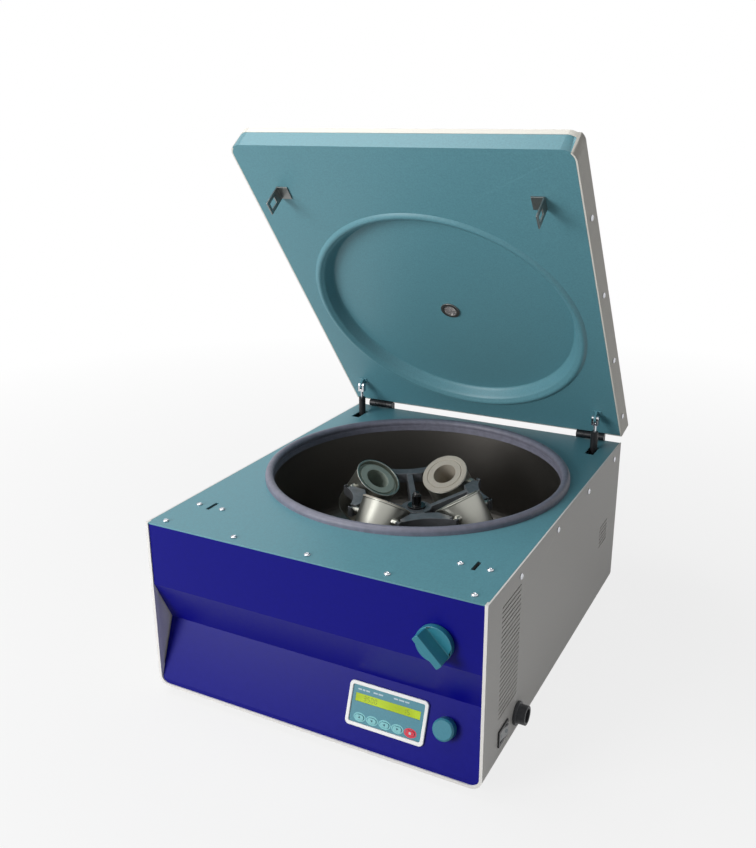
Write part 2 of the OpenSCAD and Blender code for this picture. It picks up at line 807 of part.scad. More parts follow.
// Membrane face with openings for the display and the keys
module keypad_face() {
    color("teal") on_keypad() slope_prism(-face_t, 0) difference() {
        round_rect(face_w - 2*seat, face_h - 2*seat, 2);
        translate([0, lcd_up]) square([lcd_w + 2*seat, lcd_h + 2*seat], center = true);
        for (x = key_x) translate([x, -key_down]) stadium(key_w + 2*seat, key_h + 2*seat);
    }
}

// Display window
module lcd_window() {
    color("yellowgreen") on_keypad() translate([0, 0, lcd_up])
        slope_prism(-face_t + seat, 0) square([lcd_w, lcd_h], center = true);
}

// Display and key board behind the panel, and the dial's encoder in its own hole
module display_board() {
    color("darkgreen") {
        on_keypad() {
            slope_prism(board_gap, board_gap + board_t) square([board_w, board_h], center = true);
            translate([0, 0, lcd_up]) slope_prism(0, board_gap + eps)
                square([lcd_w - 2, lcd_h - 1], center = true);
            for (x = [-1, 1], z = [-1, 1])
                translate([x*(board_w/2 - standoff_r), 0, z*(board_h/2 - standoff_r)])
                    rod_y(slope_t + seat, board_gap + eps, standoff_r);
            for (x = key_x) translate([x, 0, -key_down]) rod_y(board_gap - 1.2, board_gap + eps, 3);
        }
        on_slope() translate([dial_x, 0, -dial_down]) difference() {
            union() {
                rod_y(-seat, slope_t + 1, encoder_r);
                translate([-encoder_w/2, slope_t + seat, -encoder_w/2])
                    cube([encoder_w, encoder_l, encoder_w]);
            }
            rod_y(-2, slope_t + encoder_l - 1, dial_shaft_r + fit);
        }
    }
}

// A key: its cap through the face, a flange behind it and a stem to its switch
module key(k) {
    on_keypad() translate([key_x[k], 0, -key_down]) {
        slope_prism(-key_proud, 0.3) stadium(key_w, key_h);
        slope_prism(0.1, key_flange) stadium(key_w + 1.6, key_h + 1.6);
        rod_y(key_flange - eps, board_gap - 1.3 - key_travel, 1.6);
    }
}

module key_1() { color("skyblue") key(0); }
module key_2() { color("skyblue") key(1); }
module key_3() { color("skyblue") key(2); }
module key_4() { color("skyblue") key(3); }
module stop_key() { color("crimson") key(4); }

// Setting dial with its shaft in the encoder
module speed_dial() {
    r = dial_d/2;
    color("teal") on_slope() translate([dial_x, 0, -dial_down]) {
        rotate([90, 0, 0]) {
            translate([0, 0, 0.6]) cylinder(h = dial_h - 2.6, r = r);
            translate([0, 0, dial_h - 2 - eps]) cylinder(h = 2, r1 = r, r2 = r - 2);
        }
        rod_y(-dial_h + 3, slope_t + encoder_l - 1.5, dial_shaft_r);
    }
}

// ---------- lock ----------

// Half-thickness of a tooth at height h above the pitch line
function tooth_half(h) = 0.18*pitch - h*tan(20);

// One straight-flanked tooth pointing along +Y, pitch line at y = 0
module tooth() {
    polygon([[-tooth_half(-tooth_ded - 0.5), -tooth_ded - 0.5], [-tooth_half(tooth_add), tooth_add],
        [tooth_half(tooth_add), tooth_add], [tooth_half(-tooth_ded - 0.5), -tooth_ded - 0.5]]);
}

// Pinion outline, one tooth at the top
module pinion_outline() {
    circle(pinion_r - tooth_ded);
    for (k = [0:pinion_teeth - 1]) rotate(k*360/pinion_teeth) translate([0, pinion_r]) tooth();
}

// Rack outline: teeth towards -Y from pitch line y = 0, the gap at x = 0 takes the pinion's tooth
module rack_outline(from, to, back_from, back_to) {
    for (k = [from:to]) translate([(k + 0.5)*pitch, 0]) mirror([0, 1]) tooth();
    translate([back_from, tooth_ded]) square([back_to - back_from, rack_h]);
}

// The turning shaft behind the lock knob, with its pinion between the racks
module lock_shaft() {
    color("silver") translate([lock_x, 0, lock_z]) {
        rod_y(panel_y - disc_h + 1, bar_y + bar_t/2 + play + bracket_t + 3, lock_shaft_r);
        along_y(bar_y - bar_t/2 + 0.5, bar_y + bar_t/2 - 0.5) pinion_outline();
    }
}

// Winged knob, its wing from upper left to lower right while unlocked
module lock_knob() {
    r = knob_d/2;
    face_y = panel_y - 0.5 - disc_h;
    tip_y = panel_y - knob_h;
    color("teal") translate([lock_x, 0, lock_z]) difference() {
        union() {
            rod_y(face_y, panel_y - 0.5, r);
            rotate([0, 45, 0]) intersection() {
                across_x(knob_d) polygon([[face_y + 1, -r*0.34], [tip_y, -r*0.2], [tip_y, r*0.2],
                    [face_y + 1, r*0.34]]);
                rod_y(tip_y - 1, face_y + 2, r - 0.8);
            }
        }
        rod_y(panel_y - disc_h + 0.8, panel_y, lock_shaft_r + fit);
    }
}

// Inner edge of a bar's upright arm, clear of the keeper at full travel
arm_x = striker_x - slot_w/2 - cheek_t - rack_travel - 2*play;
bolt_tip = striker_x - striker_t/2 - bolt_reach;

// Upright arm and bolt of a bar, from the height z up, at the distance x from the middle
module bar_arm(z) {
    translate([arm_x - arm_w, z]) square([arm_w, bolt_z + bolt_h/2 - z]);
    translate([arm_x - arm_w, bolt_z - bolt_h/2]) square([bolt_tip - arm_x + arm_w, bolt_h]);
}

// Upper bar: the knob's turn drives it to the right
module latch_bar_right() {
    color("silver") along_y(bar_y - bar_t/2, bar_y + bar_t/2) {
        translate([lock_x, lock_z + pinion_r]) rack_outline(-5, 1, -5*pitch, 2*pitch);
        bar_arm(lock_z + pinion_r + tooth_ded + 1);
    }
}

// Lower bar: driven to the left, across the whole front
module latch_bar_left() {
    color("silver") along_y(bar_y - bar_t/2, bar_y + bar_t/2) {
        translate([lock_x, lock_z - pinion_r]) mirror([0, 1])
            rack_outline(-2, 4, -lock_x - arm_x, 5*pitch);
        mirror([1, 0]) bar_arm(lock_z - pinion_r - tooth_ded - rack_h);
    }
}

// Guides under the deck that the bolts run in and the strikers drop into
module latch_keepers() {
    top_z = deck_under - cheek_t;
    low_z = bolt_z - bolt_h/2 - 4;
    color("gray") both_sides() translate([striker_x, bar_y, 0]) difference() {
        union() {
            box([-keeper_w/2, -keeper_d/2, top_z], [keeper_w/2, keeper_d/2, deck_under]);
            for (x = [-slot_w/2 - cheek_t, slot_w/2])
                box([x, -slot_l/2, low_z], [x + cheek_t, slot_l/2, top_z + eps]);
        }
        cube([slot_w, slot_l, 3*body_h], center = true);
        translate([0, 0, bolt_z]) cube([keeper_w, bar_t + 2*play, bolt_h + 2*play], center = true);
        for (s = [-1, 1]) translate([s*latch_screw_dx, latch_screw_y - bar_y, deck_z])
            screw_hole(2*sheet);
    }
}

// Two plates from the deck that carry the lock's shaft, with a rest under the lower bar
module lock_bracket() {
    gap = bar_t/2 + play;
    rest_z = lock_z - pinion_r - tooth_ded - rack_h - seat;
    color("gray") difference() {
        union() {
            for (y = [bar_y - gap - bracket_t, bar_y + gap]) along_y(y, y + bracket_t) {
                translate([lock_x - bracket_reach, lock_z - bracket_half])
                    square([bracket_reach + bracket_side, 2*bracket_half]);
                translate([lock_x - bracket_reach, lock_z]) square([bracket_post, deck_under - lock_z]);
            }
            box([lock_x - bracket_reach, bar_y - gap - eps, deck_under - bracket_t],
                [lock_x - bracket_reach + bracket_post, bar_y + gap + eps, deck_under]);
            box([lock_x - pinion_r, bar_y - gap - eps, lock_z - bracket_half],
                [lock_x + pinion_r, bar_y + gap + eps, rest_z]);
        }
        translate([lock_x, 0, lock_z]) rod_y(bar_y - 2*pinion_r, bar_y + 2*pinion_r, lock_shaft_r + fit);
    }
}

// ---------- right side fittings ----------

// The rocker's frame and its box inside the cabinet
module switch_frame() {
    wall = 1.8;
    color("black") translate([side_x, switch_y, switch_z]) difference() {
        union() {
            translate([0, -switch_w/2, -switch_h/2]) cube([2.2, switch_w, switch_h]);
            translate([-16, -switch_w/2 + 2, -switch_h/2 + 2]) cube([17, switch_w - 4, switch_h - 4]);
        }
        translate([-14, -switch_w/2 + 2 + wall, -switch_h/2 + 2 + wall])
            cube([20, switch_w - 4 - 2*wall, switch_h - 4 - 2*wall]);
        translate([0, 0, -switch_h/2 + 2.6]) cylinder(h = switch_h - 5.2, r = 1.5 + fit);
    }
}

// Rocker on its pivot, its front end pressed in
module switch_rocker() {
    half = switch_w/2 - 4.6;
    tall = switch_h - 8.4;
    color("silver") translate([side_x, switch_y, switch_z]) rotate([0, 0, -rocker_tilt]) {
        translate([0, 0, -tall/2]) linear_extrude(tall)
            polygon([[2.6, -half + 0.6], [1.8, 0], [2.6, half - 0.6], [-4, half - 1], [-4, -half + 1]]);
        translate([0, 0, -switch_h/2 + 3]) cylinder(h = switch_h - 6, r = 1.5);
    }
}

// Round power inlet: flange, barrel and socket with its contacts
module power_inlet() {
    barrel = inlet_r - 3;
    color("dimgray") translate([side_x, inlet_y, inlet_z]) {
        difference() {
            union() {
                rod_x(0, 4, inlet_r);
                rod_x(-12, inlet_proud, barrel);
            }
            rod_x(1, inlet_proud + 1, socket_r);
        }
        for (a = [90, 210, 330])
            translate([0, socket_r*0.5*cos(a), socket_r*0.5*sin(a)]) rod_x(1 - eps, inlet_proud - contact_short, 1.5);
    }
}

// ---------- hinges and struts ----------

// Fixed half of each hinge: outer knuckles on one pin, and a leaf down the back
module hinge_leaves() {
    color("black") both_sides() translate([hinge_x, hinge_y, hinge_z]) {
        for (x = [-barrel_l/2, knuckle_l/2 + seat]) {
            rod_x(x, x + (barrel_l - knuckle_l)/2 - seat, barrel_r);
            box([x, leaf_drop, -leaf_h],
                [x + (barrel_l - knuckle_l)/2 - seat, leaf_drop + leaf_t - 0.4, 0]);
        }
        rod_x(-barrel_l/2, barrel_l/2, hinge_pin_r);
    }
}

// Lid half of each hinge: a knuckle and a leaf on the lid's plate, inside the lid
module lid_knuckles() {
    leaf_z = plate_z + sheet - hinge_z;
    color("black") lid_pose() both_sides() translate([hinge_x, hinge_y, hinge_z]) difference() {
        union() {
            rod_x(-knuckle_l/2, knuckle_l/2, barrel_r);
            box([-knuckle_l/2, -leaf_h, leaf_z], [knuckle_l/2, 0, leaf_z + leaf_t]);
        }
        rod_x(-barrel_l, barrel_l, hinge_pin_r + fit);
    }
}

// Bearing plates inside the shell's sides with the pins that the struts' lower eyes hang on
module strut_feet() {
    plate_t = 4;
    color("gray") both_sides() translate([0, foot_y, strut_foot_z]) {
        box([inner_x - plate_t, -15, -20], [inner_x, 15, 20]);
        rod_x(strut_x - rod_eye_t/2 - 2, inner_x - plate_t + eps, foot_pin_r);
        for (x = [-rod_eye_t/2 - 2 - eps, rod_eye_t/2 + play])
            rod_x(strut_x + x, strut_x + x + 1.6, rod_eye_r - 1);
    }
}

// Clevis on top of a strut, with its pin
module strut_fork(side) {
    depth = 9;
    color("silver") at_strut(side) {
        for (x = [-fork_w/2, fork_gap/2]) translate([x, 0, 0]) {
            translate([0, -depth/2, -fork_slot - 1]) cube([(fork_w - fork_gap)/2, depth, fork_slot + 1]);
            rod_x(0, (fork_w - fork_gap)/2, depth/2);
        }
        translate([-fork_w/2, -depth/2, -fork_slot - 4]) cube([fork_w, depth, 4]);
        translate([0, 0, -fork_l]) cylinder(h = fork_l - fork_slot - 3, r = stud_r);
        rod_x(-fork_w/2 - 0.4, fork_w/2 + 0.4, fork_pin_r);
    }
}

// Gas-spring tube, closed at the top, bored for its rod
module strut_tube(side) {
    color("black") at_strut(side) difference() {
        translate([0, 0, -fork_l - strut_tube_l]) cylinder(h = strut_tube_l, r = strut_r);
        translate([0, 0, -fork_l - strut_tube_l - 1]) cylinder(h = strut_tube_l - 6, r = rod_r + fit);
    }
}

// Rod of a gas spring with the wide eye that hangs on the strut's foot
module strut_rod(side) {
    color("silver") at_strut(side) difference() {
        union() {
            translate([0, 0, -strut_len]) cylinder(h = strut_len - rod_top, r = rod_r);
            translate([0, 0, -strut_len]) rod_x(-rod_eye_t/2, rod_eye_t/2, rod_eye_r);
        }
        translate([0, 0, -strut_len]) rod_x(-rod_eye_t, rod_eye_t, rod_eye_bore);
    }
}

module strut_fork_left() { strut_fork(-1); }
module strut_fork_right() { strut_fork(1); }
module strut_tube_left() { strut_tube(-1); }
module strut_tube_right() { strut_tube(1); }
module strut_rod_left() { strut_rod(-1); }
module strut_rod_right() { strut_rod(1); }

// Tongues under the lid that the clevises pin to
module strut_tongues() {
    color("cadetblue") lid_pose() both_sides() translate([strut_x, closed_eye_y, 0]) difference() {
        union() {
            box([-tongue_t/2, -tongue_w/2, closed_eye_z], [tongue_t/2, tongue_w/2, plate_z]);
            translate([0, 0, closed_eye_z]) rod_x(-tongue_t/2, tongue_t/2, tongue_w/2);
            box([-7, -tongue_w/2, plate_z - 1.2], [7, tongue_w/2, plate_z]);
        }
        translate([0, 0, closed_eye_z]) rod_x(-tongue_w, tongue_w, fork_pin_r + fit);
    }
}

// ---------- lid ----------

// Round notches that clear the hinge barrels while the lid turns
module hinge_notches() {
    both_sides() translate([hinge_x, hinge_y, hinge_z])
        rod_x(-barrel_l/2 - play, barrel_l/2 + play, barrel_r + play);
}

// Outer skin: top, sides, a front lip and a sloping tail
module lid_skin() {
    bevel = 4;
    tail = plate_end + lid_tail;
    outline = [[lid_front, plate_z], [lid_front, lid_top - bevel], [lid_front + bevel, lid_top],
        [tail, lid_top], [plate_end + 0.6, plate_z]];
    hollow = [[lid_front + sheet, plate_z - 5], [lid_front + sheet, lid_top - bevel - sheet*0.4],
        [lid_front + bevel + sheet*0.4, lid_top - sheet], [tail - sheet*1.6, lid_top - sheet],
        [plate_end + 0.6 - sheet*1.1, plate_z - eps], [plate_end + 0.6 - sheet*1.1, plate_z - 5]];
    color("antiquewhite") lid_pose() difference() {
        across_x(lid_w) polygon(outline);
        across_x(lid_w - 2*sheet) polygon(hollow);
        box([-skin_inner, lid_front - 1, plate_z - 1], [skin_inner, lid_front + 2*sheet, plate_z + lid_strip]);
        hinge_notches();
        both_sides() box([hinge_x - knuckle_l/2 - play, plate_end - leaf_h/2, plate_z - 1],
            [hinge_x + knuckle_l/2 + play, hinge_y + 1, plate_z + sheet + leaf_t + play]);
        translate([0, 0, lid_top - sheet - 1]) cylinder(h = sheet + 2, r = port_tube + fit);
        at_lid_screws() screw_hole(sheet + 1);
    }
}

// Height of the dish's surface above the plate, t = 0 at the lip's outer foot, 1 at the floor
function lip_z(t) = t < 0.5 ? -lip_h*sin(360*t) : dish_depth*(1 - cos(360*(t - 0.5)))/2;

// Inner plate: a tray with a raised lip round a dish over the chamber
module lid_plate() {
    steps = 16;
    front = lid_front + 0.6;
    line = concat([[lip_r + 0.5, plate_z]],
        [for (k = [0:steps]) [lip_r - lip_w*k/steps, plate_z + lip_z(k/steps)]],
        [[port_tube + seat, plate_z + dish_depth]]);
    color("cadetblue") lid_pose() difference() {
        union() {
            difference() {
                box([-tray_w/2, front, plate_z], [tray_w/2, plate_end - sheet - seat, plate_z + sheet]);
                translate([0, 0, plate_z - 1]) cylinder(h = sheet + 2, r = lip_r, $fn = 128);
            }
            rotate_extrude($fn = 128)
                polygon(concat(line, [for (p = reversed(line)) p + [0, sheet]]));
            box([-tray_w/2, front, plate_z], [tray_w/2, front + sheet, plate_z + lid_strip - seat]);
            for (s = [-1, 1]) translate([s*(tray_w/2 - sheet/2), 0, 0])
                box([-sheet/2, front, plate_z], [sheet/2, plate_end - sheet - seat, plate_z + tray_rim]);
        }
        hinge_notches();
        at_lid_screws() screw_hole(2*sheet + 1);
    }
}

// L-shaped strikers with a window for the bolts
module lid_strikers() {
    low = plate_z - striker_l;
    color("silver") lid_pose() both_sides() translate([striker_x, bar_y, 0]) difference() {
        union() {
            box([-striker_t/2, -striker_w/2, low], [striker_t/2, striker_w/2, plate_z]);
            box([-striker_t/2 - 16, -striker_w/2, plate_z - striker_t], [striker_t/2, striker_w/2, plate_z]);
        }
        box([-striker_t, -window_l/2, low + window_tip], [striker_t, window_l/2, low + window_tip + window_up]);
    }
}

// Chrome tube of the sight port through the dish and the skin
module port_ring() {
    floor_under = plate_z + dish_depth;
    color("silver") lid_pose() difference() {
        union() {
            translate([0, 0, floor_under - 2]) cylinder(h = 2, r = port_r);
            translate([0, 0, floor_under - eps]) cylinder(h = lid_top - floor_under + eps, r = port_tube);
            translate([0, 0, lid_top]) cylinder(h = 1.5, r = port_r);
        }
        translate([0, 0, plate_z]) cylinder(h = lid_t + 5, r = port_bore);
    }
}

// Window of the sight port
module port_glass() {
    color("lightblue") lid_pose() translate([0, 0, plate_z + dish_depth - 1])
        cylinder(h = 3, r = port_bore - fit);
}

// Screws along the lid's sides
module lid_screws() {
    color("silver") lid_pose() at_lid_screws() screw(2*sheet);
}

// ---------- rotor ----------

// Outline of an arm's head in the arm's own frame: U along the arm
module head_outline() {
    inner = corridor*sqrt(2);
    outer = (corridor + horn_t)*sqrt(2);
    end = horn_end*sqrt(2);
    tip = [(end + inner)/2, (end - inner)/2];
    corner = [(end + outer)/2, (end - outer)/2];
    rise = corner[0] - head_mid;
    arc_r = (corner[1]*corner[1] + rise*rise)/(2*rise);
    difference() {
        polygon([[head_in, inner - head_in], [tip[0], -tip[1]], [corner[0], -corner[1]],
            corner, tip, [head_in, head_in - inner]]);
        translate([head_mid + arc_r, 0]) circle(arc_r, $fn = 128);
    }
}

// Cast yoke: hub, sloping webs and heads with open-topped seats for the trunnion pins
module rotor_yoke() {
    color("slategray") difference() {
        union() {
            translate([0, 0, hub_bottom]) cylinder(h = hub_top - hub_bottom, r = hub_r);
            for (k = [0:3]) rotate([0, 0, bucket_az - 45 + 90*k]) {
                rotate([90, 0, 0]) linear_extrude(web_t, center = true)
                    polygon([[hub_r - 6, hub_bottom + 3], [hub_r - 6, hub_top - 1], [head_in, horn_top - 1],
                        [head_mid - 3, horn_top - 1], [head_mid - 3, horn_bottom + 2],
                        [head_mid - 16, horn_bottom - 6]]);
                translate([0, 0, horn_bottom]) linear_extrude(horn_top - horn_bottom) head_outline();
            }
        }
        translate([0, 0, hub_bottom - 1]) cylinder(h = hub_top, r = shaft_r + fit);
        for (k = [0:3], s = [-1, 1]) rotate([0, 0, bucket_az + 90*k])
            translate([pin_radius, s*(corridor + horn_t/2), pin_z]) {
                rod_y(-horn_t/2 - 1, horn_t/2 + 1, pin_r + fit);
                translate([0, 0, horn_top - pin_z])
                    cube([2*(pin_r + fit), horn_t + 2, 2*(horn_top - pin_z)], center = true);
            }
    }
}

// Hand nut with a flange and a polished cap
module rotor_nut() {
    color("black") difference() {
        union() {
            translate([0, 0, hub_top]) cylinder(h = 3, r = 2*nut_r);
            translate([0, 0, hub_top + 3 - eps]) cylinder(h = nut_h - 3, r = nut_r);
            translate([0, 0, hub_top + nut_h - 2*eps]) rotate_extrude() intersection() {
                circle(cap_r, $fn = 32);
                square(cap_r);
            }
        }
        translate([0, 0, hub_top - 1]) cylinder(h = nut_h - 1, r = shaft_r/2 + fit);
    }
}

// A bucket's outer section, from the axis at its foot up to its rim
function bucket_line(r, round_r, len) = concat([[0, -len]],
    [for (a = [90:-15:0]) [r - round_r + round_r*cos(a), -len + round_r - round_r*sin(a)]],
    [[r, 0], [0, 0]]);

// Steel bucket with a rolled rim and a trunnion pin on each side
module bucket(k) {
    round_r = 8;
    color("lightsteelblue") at_bucket(k) {
        difference() {
            union() {
                rotate_extrude() polygon(bucket_line(bucket_r, round_r, bucket_l));
                translate([0, 0, -rim_h]) cylinder(h = rim_h, r = rim_r);
                translate([pin_out, 0, -pin_down]) rod_y(-boss_face, boss_face, boss_r);
            }
            translate([0, 0, -bucket_l + bucket_t])
                cylinder(h = bucket_l, r = bucket_r - bucket_t);
        }
        for (s = [-1, 1]) translate([pin_out, s*(boss_face + pin_end)/2, -pin_down])
            rod_y(-(pin_end - boss_face)/2 - 1, (pin_end - boss_face)/2, pin_r);
    }
}

// Plastic adapter that fills a bucket, with one tube hole: capped over the rim, or sunk in it
module adapter(k, capped) {
    r = bucket_r - bucket_t - adapter_gap;
    foot = -bucket_l + bucket_t;
    color(capped ? "beige" : "gray") at_bucket(k) difference() {
        union() {
            translate([0, 0, foot]) cylinder(h = (capped ? cap_t : -shoulder_drop) - foot, r = r);
            if (capped) cylinder(h = cap_t, r = rim_r - 0.3);
            else translate([0, 0, foot]) cylinder(h = -collar_drop - foot, r = r - collar_gap);
        }
        translate([0, 0, -tube_depth]) cylinder(h = tube_depth + cap_t + 1, r = tube_r);
        if (capped) translate([0, 0, cap_t - 1]) difference() {
            cylinder(h = 2, r = r - collar_gap);
            translate([0, 0, -1]) cylinder(h = 4, r = r - collar_gap - 1.4);
        }
    }
}

module bucket_1() { bucket(0); }
module bucket_2() { bucket(1); }
module bucket_3() { bucket(2); }
module bucket_4() { bucket(3); }
module adapter_1() { adapter(0, true); }
module adapter_2() { adapter(1, false); }
module adapter_3() { adapter(2, true); }
module adapter_4() { adapter(3, false); }

// ---------- what is drawn ----------

wrap_shell();
front_panel();
deck_panel();
rear_panel();
chassis_plate();
chamber_bowl();
chamber_gasket();
guard_ring();
motor_housing();
motor_mounts();
shaft_boot();
drive_board();
display_board();
feet();
cabinet_screws();
latch_keepers();
lock_bracket();
keypad_bezel();
keypad_face();
lcd_window();
switch_frame();
power_inlet();
hinge_leaves();
strut_feet();
lock_knob();
lock_shaft();
latch_bar_right();
latch_bar_left();
speed_dial();
key_1();
key_2();
key_3();
key_4();
stop_key();
switch_rocker();
lid_skin();
lid_plate();
lid_strikers();
port_ring();
port_glass();
lid_screws();
lid_knuckles();
strut_tongues();
strut_tube_left();
strut_tube_right();
strut_fork_left();
strut_fork_right();
strut_rod_left();
strut_rod_right();
drive_shaft();
rotor_yoke();
rotor_nut();
bucket_1();
bucket_2();
bucket_3();
bucket_4();
adapter_1();
adapter_2();
adapter_3();
adapter_4();
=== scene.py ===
"""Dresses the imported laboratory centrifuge: finishes, small fittings, stage and camera."""
import json
import math

import bmesh
import bpy
from mathutils import Matrix, Vector
from mathutils.bvhtree import BVHTree

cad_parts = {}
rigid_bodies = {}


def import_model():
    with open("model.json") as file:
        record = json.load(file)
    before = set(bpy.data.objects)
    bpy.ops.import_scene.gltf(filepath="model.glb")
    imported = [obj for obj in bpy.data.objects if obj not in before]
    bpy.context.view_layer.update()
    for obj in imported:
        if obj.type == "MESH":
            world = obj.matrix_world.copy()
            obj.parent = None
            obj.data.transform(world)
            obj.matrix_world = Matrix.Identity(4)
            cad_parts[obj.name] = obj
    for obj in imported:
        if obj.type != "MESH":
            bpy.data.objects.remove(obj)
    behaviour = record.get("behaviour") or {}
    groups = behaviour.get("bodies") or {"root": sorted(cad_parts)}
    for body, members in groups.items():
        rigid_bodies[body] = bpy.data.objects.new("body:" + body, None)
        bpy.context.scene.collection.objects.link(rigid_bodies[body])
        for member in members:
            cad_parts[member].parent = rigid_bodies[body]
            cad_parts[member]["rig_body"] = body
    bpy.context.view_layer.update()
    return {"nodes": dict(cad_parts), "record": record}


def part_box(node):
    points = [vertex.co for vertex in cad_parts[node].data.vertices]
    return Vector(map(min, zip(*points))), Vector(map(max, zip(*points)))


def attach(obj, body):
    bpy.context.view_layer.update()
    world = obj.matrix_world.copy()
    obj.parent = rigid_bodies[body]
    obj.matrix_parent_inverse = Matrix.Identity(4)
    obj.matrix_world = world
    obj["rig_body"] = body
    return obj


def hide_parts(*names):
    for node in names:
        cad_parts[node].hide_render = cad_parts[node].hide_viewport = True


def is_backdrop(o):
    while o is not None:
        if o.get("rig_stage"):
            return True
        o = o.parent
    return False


bl_info = {
    "name": "Laboratory centrifuge",
    "version": (1, 0, 0),
    "blender": (4, 5, 0),
    "location": "View3D > Sidebar > Centrifuge",
    "description": "Dresses the packed centrifuge and sets its stage",
    "category": "Object",
}

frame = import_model()
NODES = frame["nodes"]

MM = 0.001
FRAME_W, FRAME_H = 756, 848
LONG_SIDE = max(FRAME_W, FRAME_H)
UP = Vector((0, 0, 1))
WHITE = (1.0, 1.0, 1.0, 1.0)

# Where features show in the photograph's frame
POINTS = {
    "object_left": (142.5, None),
    "object_right": (628.0, None),
    "object_top": (None, 127.9),
    "object_bottom": (None, 790.0),
    "deck_front_left": (145.0, 520.5),
    "deck_front_right": (488.0, 603.0),
    "deck_back_right": (619.2, 444.2),
    "shell_bottom_front_right": (479.2, 787.5),
    "port": (453.6, 313.5),
    "knob": (432.0, 644.5),
    "dial": (442.0, 730.0),
    "bezel_top_left": (352.5, 676.0),
    "bezel_bottom_right": (423.0, 745.0),
    "bowl_left": (266.9, 477.4),
    "bowl_right": (568.8, 481.5),
    "rotor_nut": (417.3, 496.7),
    "legend_left": (364.2, 690.2),
    "legend_middle": (378.4, 694.3),
    "legend_right": (401.6, 700.8),
}

# Which finished piece each point is read off (None: the whole object), and the way to its extreme
# in the picture; (0, 0) is the middle of what shows
SHOWN = {
    "object_left": (None, -1, 0),
    "object_right": (None, 1, 0),
    "object_top": (None, 0, -1),
    "object_bottom": (None, 0, 1),
    "deck_front_left": ("deck_panel_finished", -1, 0),
    "deck_front_right": ("deck_panel_finished", 0, 1),
    "deck_back_right": ("deck_panel_finished", 1, 0),
    "shell_bottom_front_right": ("wrap_shell_finished", 0, 1),
    "port": ("port_ring_finished", 0, 0),
    "knob": ("lock_knob_finished", 0, 0),
    "dial": ("speed_dial_finished", 0, 0),
    "bezel_top_left": ("keypad_bezel_finished", -1, -1),
    "bezel_bottom_right": ("keypad_bezel_finished", 1, 1),
    "bowl_left": ("chamber_gasket", -1, 0),
    "bowl_right": ("chamber_gasket", 1, 0),
    "rotor_nut": ("rotor_nut_finished", 0, 0),
    "legend_left": ("legend_left", 0, 0),
    "legend_middle": ("legend_middle", 0, 0),
    "legend_right": ("legend_right", 0, 0),
}


# ---------- colours, nodes and meshes ----------

def linear(hex_colour, alpha=1.0):
    """An sRGB hex colour as a linear one."""
    channels = [int(hex_colour[k:k + 2], 16) / 255 for k in (1, 3, 5)]
    return (*(c / 12.92 if c <= 0.04045 else ((c + 0.055) / 1.055) ** 2.4 for c in channels), alpha)


def add(tree, kind, settings=None, *sources, **links):
    """Adds a node: settings by attribute or socket, sources to the first sockets, links by socket name."""
    node = tree.nodes.new(kind)
    for key, value in (settings or {}).items():
        if isinstance(key, str) and hasattr(node, key):
            setattr(node, key, value)
        else:
            node.inputs[key].default_value = value
    for number, source in enumerate(sources):
        tree.links.new(source, node.inputs[number])
    for key, source in links.items():
        tree.links.new(source, node.inputs[key.replace("_", " ")])
    return node


def new_material(name):
    """An empty node material with its output, and its Principled shader."""
    material = bpy.data.materials.new(name)
    material.use_nodes = True
    tree = material.node_tree
    tree.nodes.clear()
    shader = add(tree, "ShaderNodeBsdfPrincipled")
    add(tree, "ShaderNodeOutputMaterial", Surface=shader.outputs["BSDF"])
    return material, tree, shader


def grain(tree, size_mm, stretch=(1, 1, 1), turn=(0, 0, 0), detail=2.0):
    """Noise whose grains measure size_mm, stretched along the piece's own axes."""
    place = add(tree, "ShaderNodeTexCoord")
    turned = add(tree, "ShaderNodeMapping", {"vector_type": "TEXTURE", "Rotation": turn},
                 place.outputs["Object"])
    scaled = add(tree, "ShaderNodeMapping", {"Scale": stretch}, turned.outputs["Vector"])
    noise = add(tree, "ShaderNodeTexNoise", {"Scale": 1 / (size_mm * MM), "Detail": detail},
                scaled.outputs["Vector"])
    return noise.outputs["Fac"]


def finish(tree, shader, pattern, colour, spread, roughness, play, depth_mm=0.0, relief=None):
    """Lets a pattern vary the colour by spread, and a relief the roughness by play and the height."""
    relief = relief or pattern
    # Noise mostly keeps between these two values
    middle = {"From Min": 0.3, "From Max": 0.7}
    dark = tuple(c * (1 - spread) for c in colour[:3]) + (1.0,)
    light = tuple(min(c * (1 + spread), 1.0) for c in colour[:3]) + (1.0,)
    tone = add(tree, "ShaderNodeMapRange", middle, pattern)
    mix = add(tree, "ShaderNodeMix", {"data_type": "RGBA", 6: dark, 7: light}, tone.outputs["Result"])
    tree.links.new(mix.outputs[2], shader.inputs["Base Color"])
    range_of_gloss = {"To Min": roughness - play, "To Max": roughness + play}
    gloss = add(tree, "ShaderNodeMapRange", middle | range_of_gloss, relief)
    tree.links.new(gloss.outputs["Result"], shader.inputs["Roughness"])
    if depth_mm:
        raised = add(tree, "ShaderNodeBump", {"Strength": 0.5, "Distance": depth_mm * MM}, Height=relief)
        tree.links.new(raised.outputs["Normal"], shader.inputs["Normal"])


# Powder coat on folded steel: a fine grain like leather, satin, with a broad even tone.
# The real grain is about 1 mm; it is drawn at about twice that so that it shows
def powder_coat(name, colour, grain_mm=2.2, spread=0.06, roughness=0.46, depth_mm=0.05, specular=0.35):
    material, tree, shader = new_material(name)
    finish(tree, shader, grain(tree, grain_mm, detail=3.0), colour, spread, roughness, play=0.05,
           depth_mm=depth_mm)
    shader.inputs["Specular IOR Level"].default_value = specular
    return material


# Smooth gloss paint: nearly flat, with the faint waviness of sprayed enamel
def enamel(name, colour, roughness=0.3, spread=0.03, specular=0.14):
    material, tree, shader = new_material(name)
    finish(tree, shader, grain(tree, size_mm=6.0), colour, spread, roughness, play=0.03, depth_mm=0.02)
    shader.inputs["Specular IOR Level"].default_value = specular
    return material


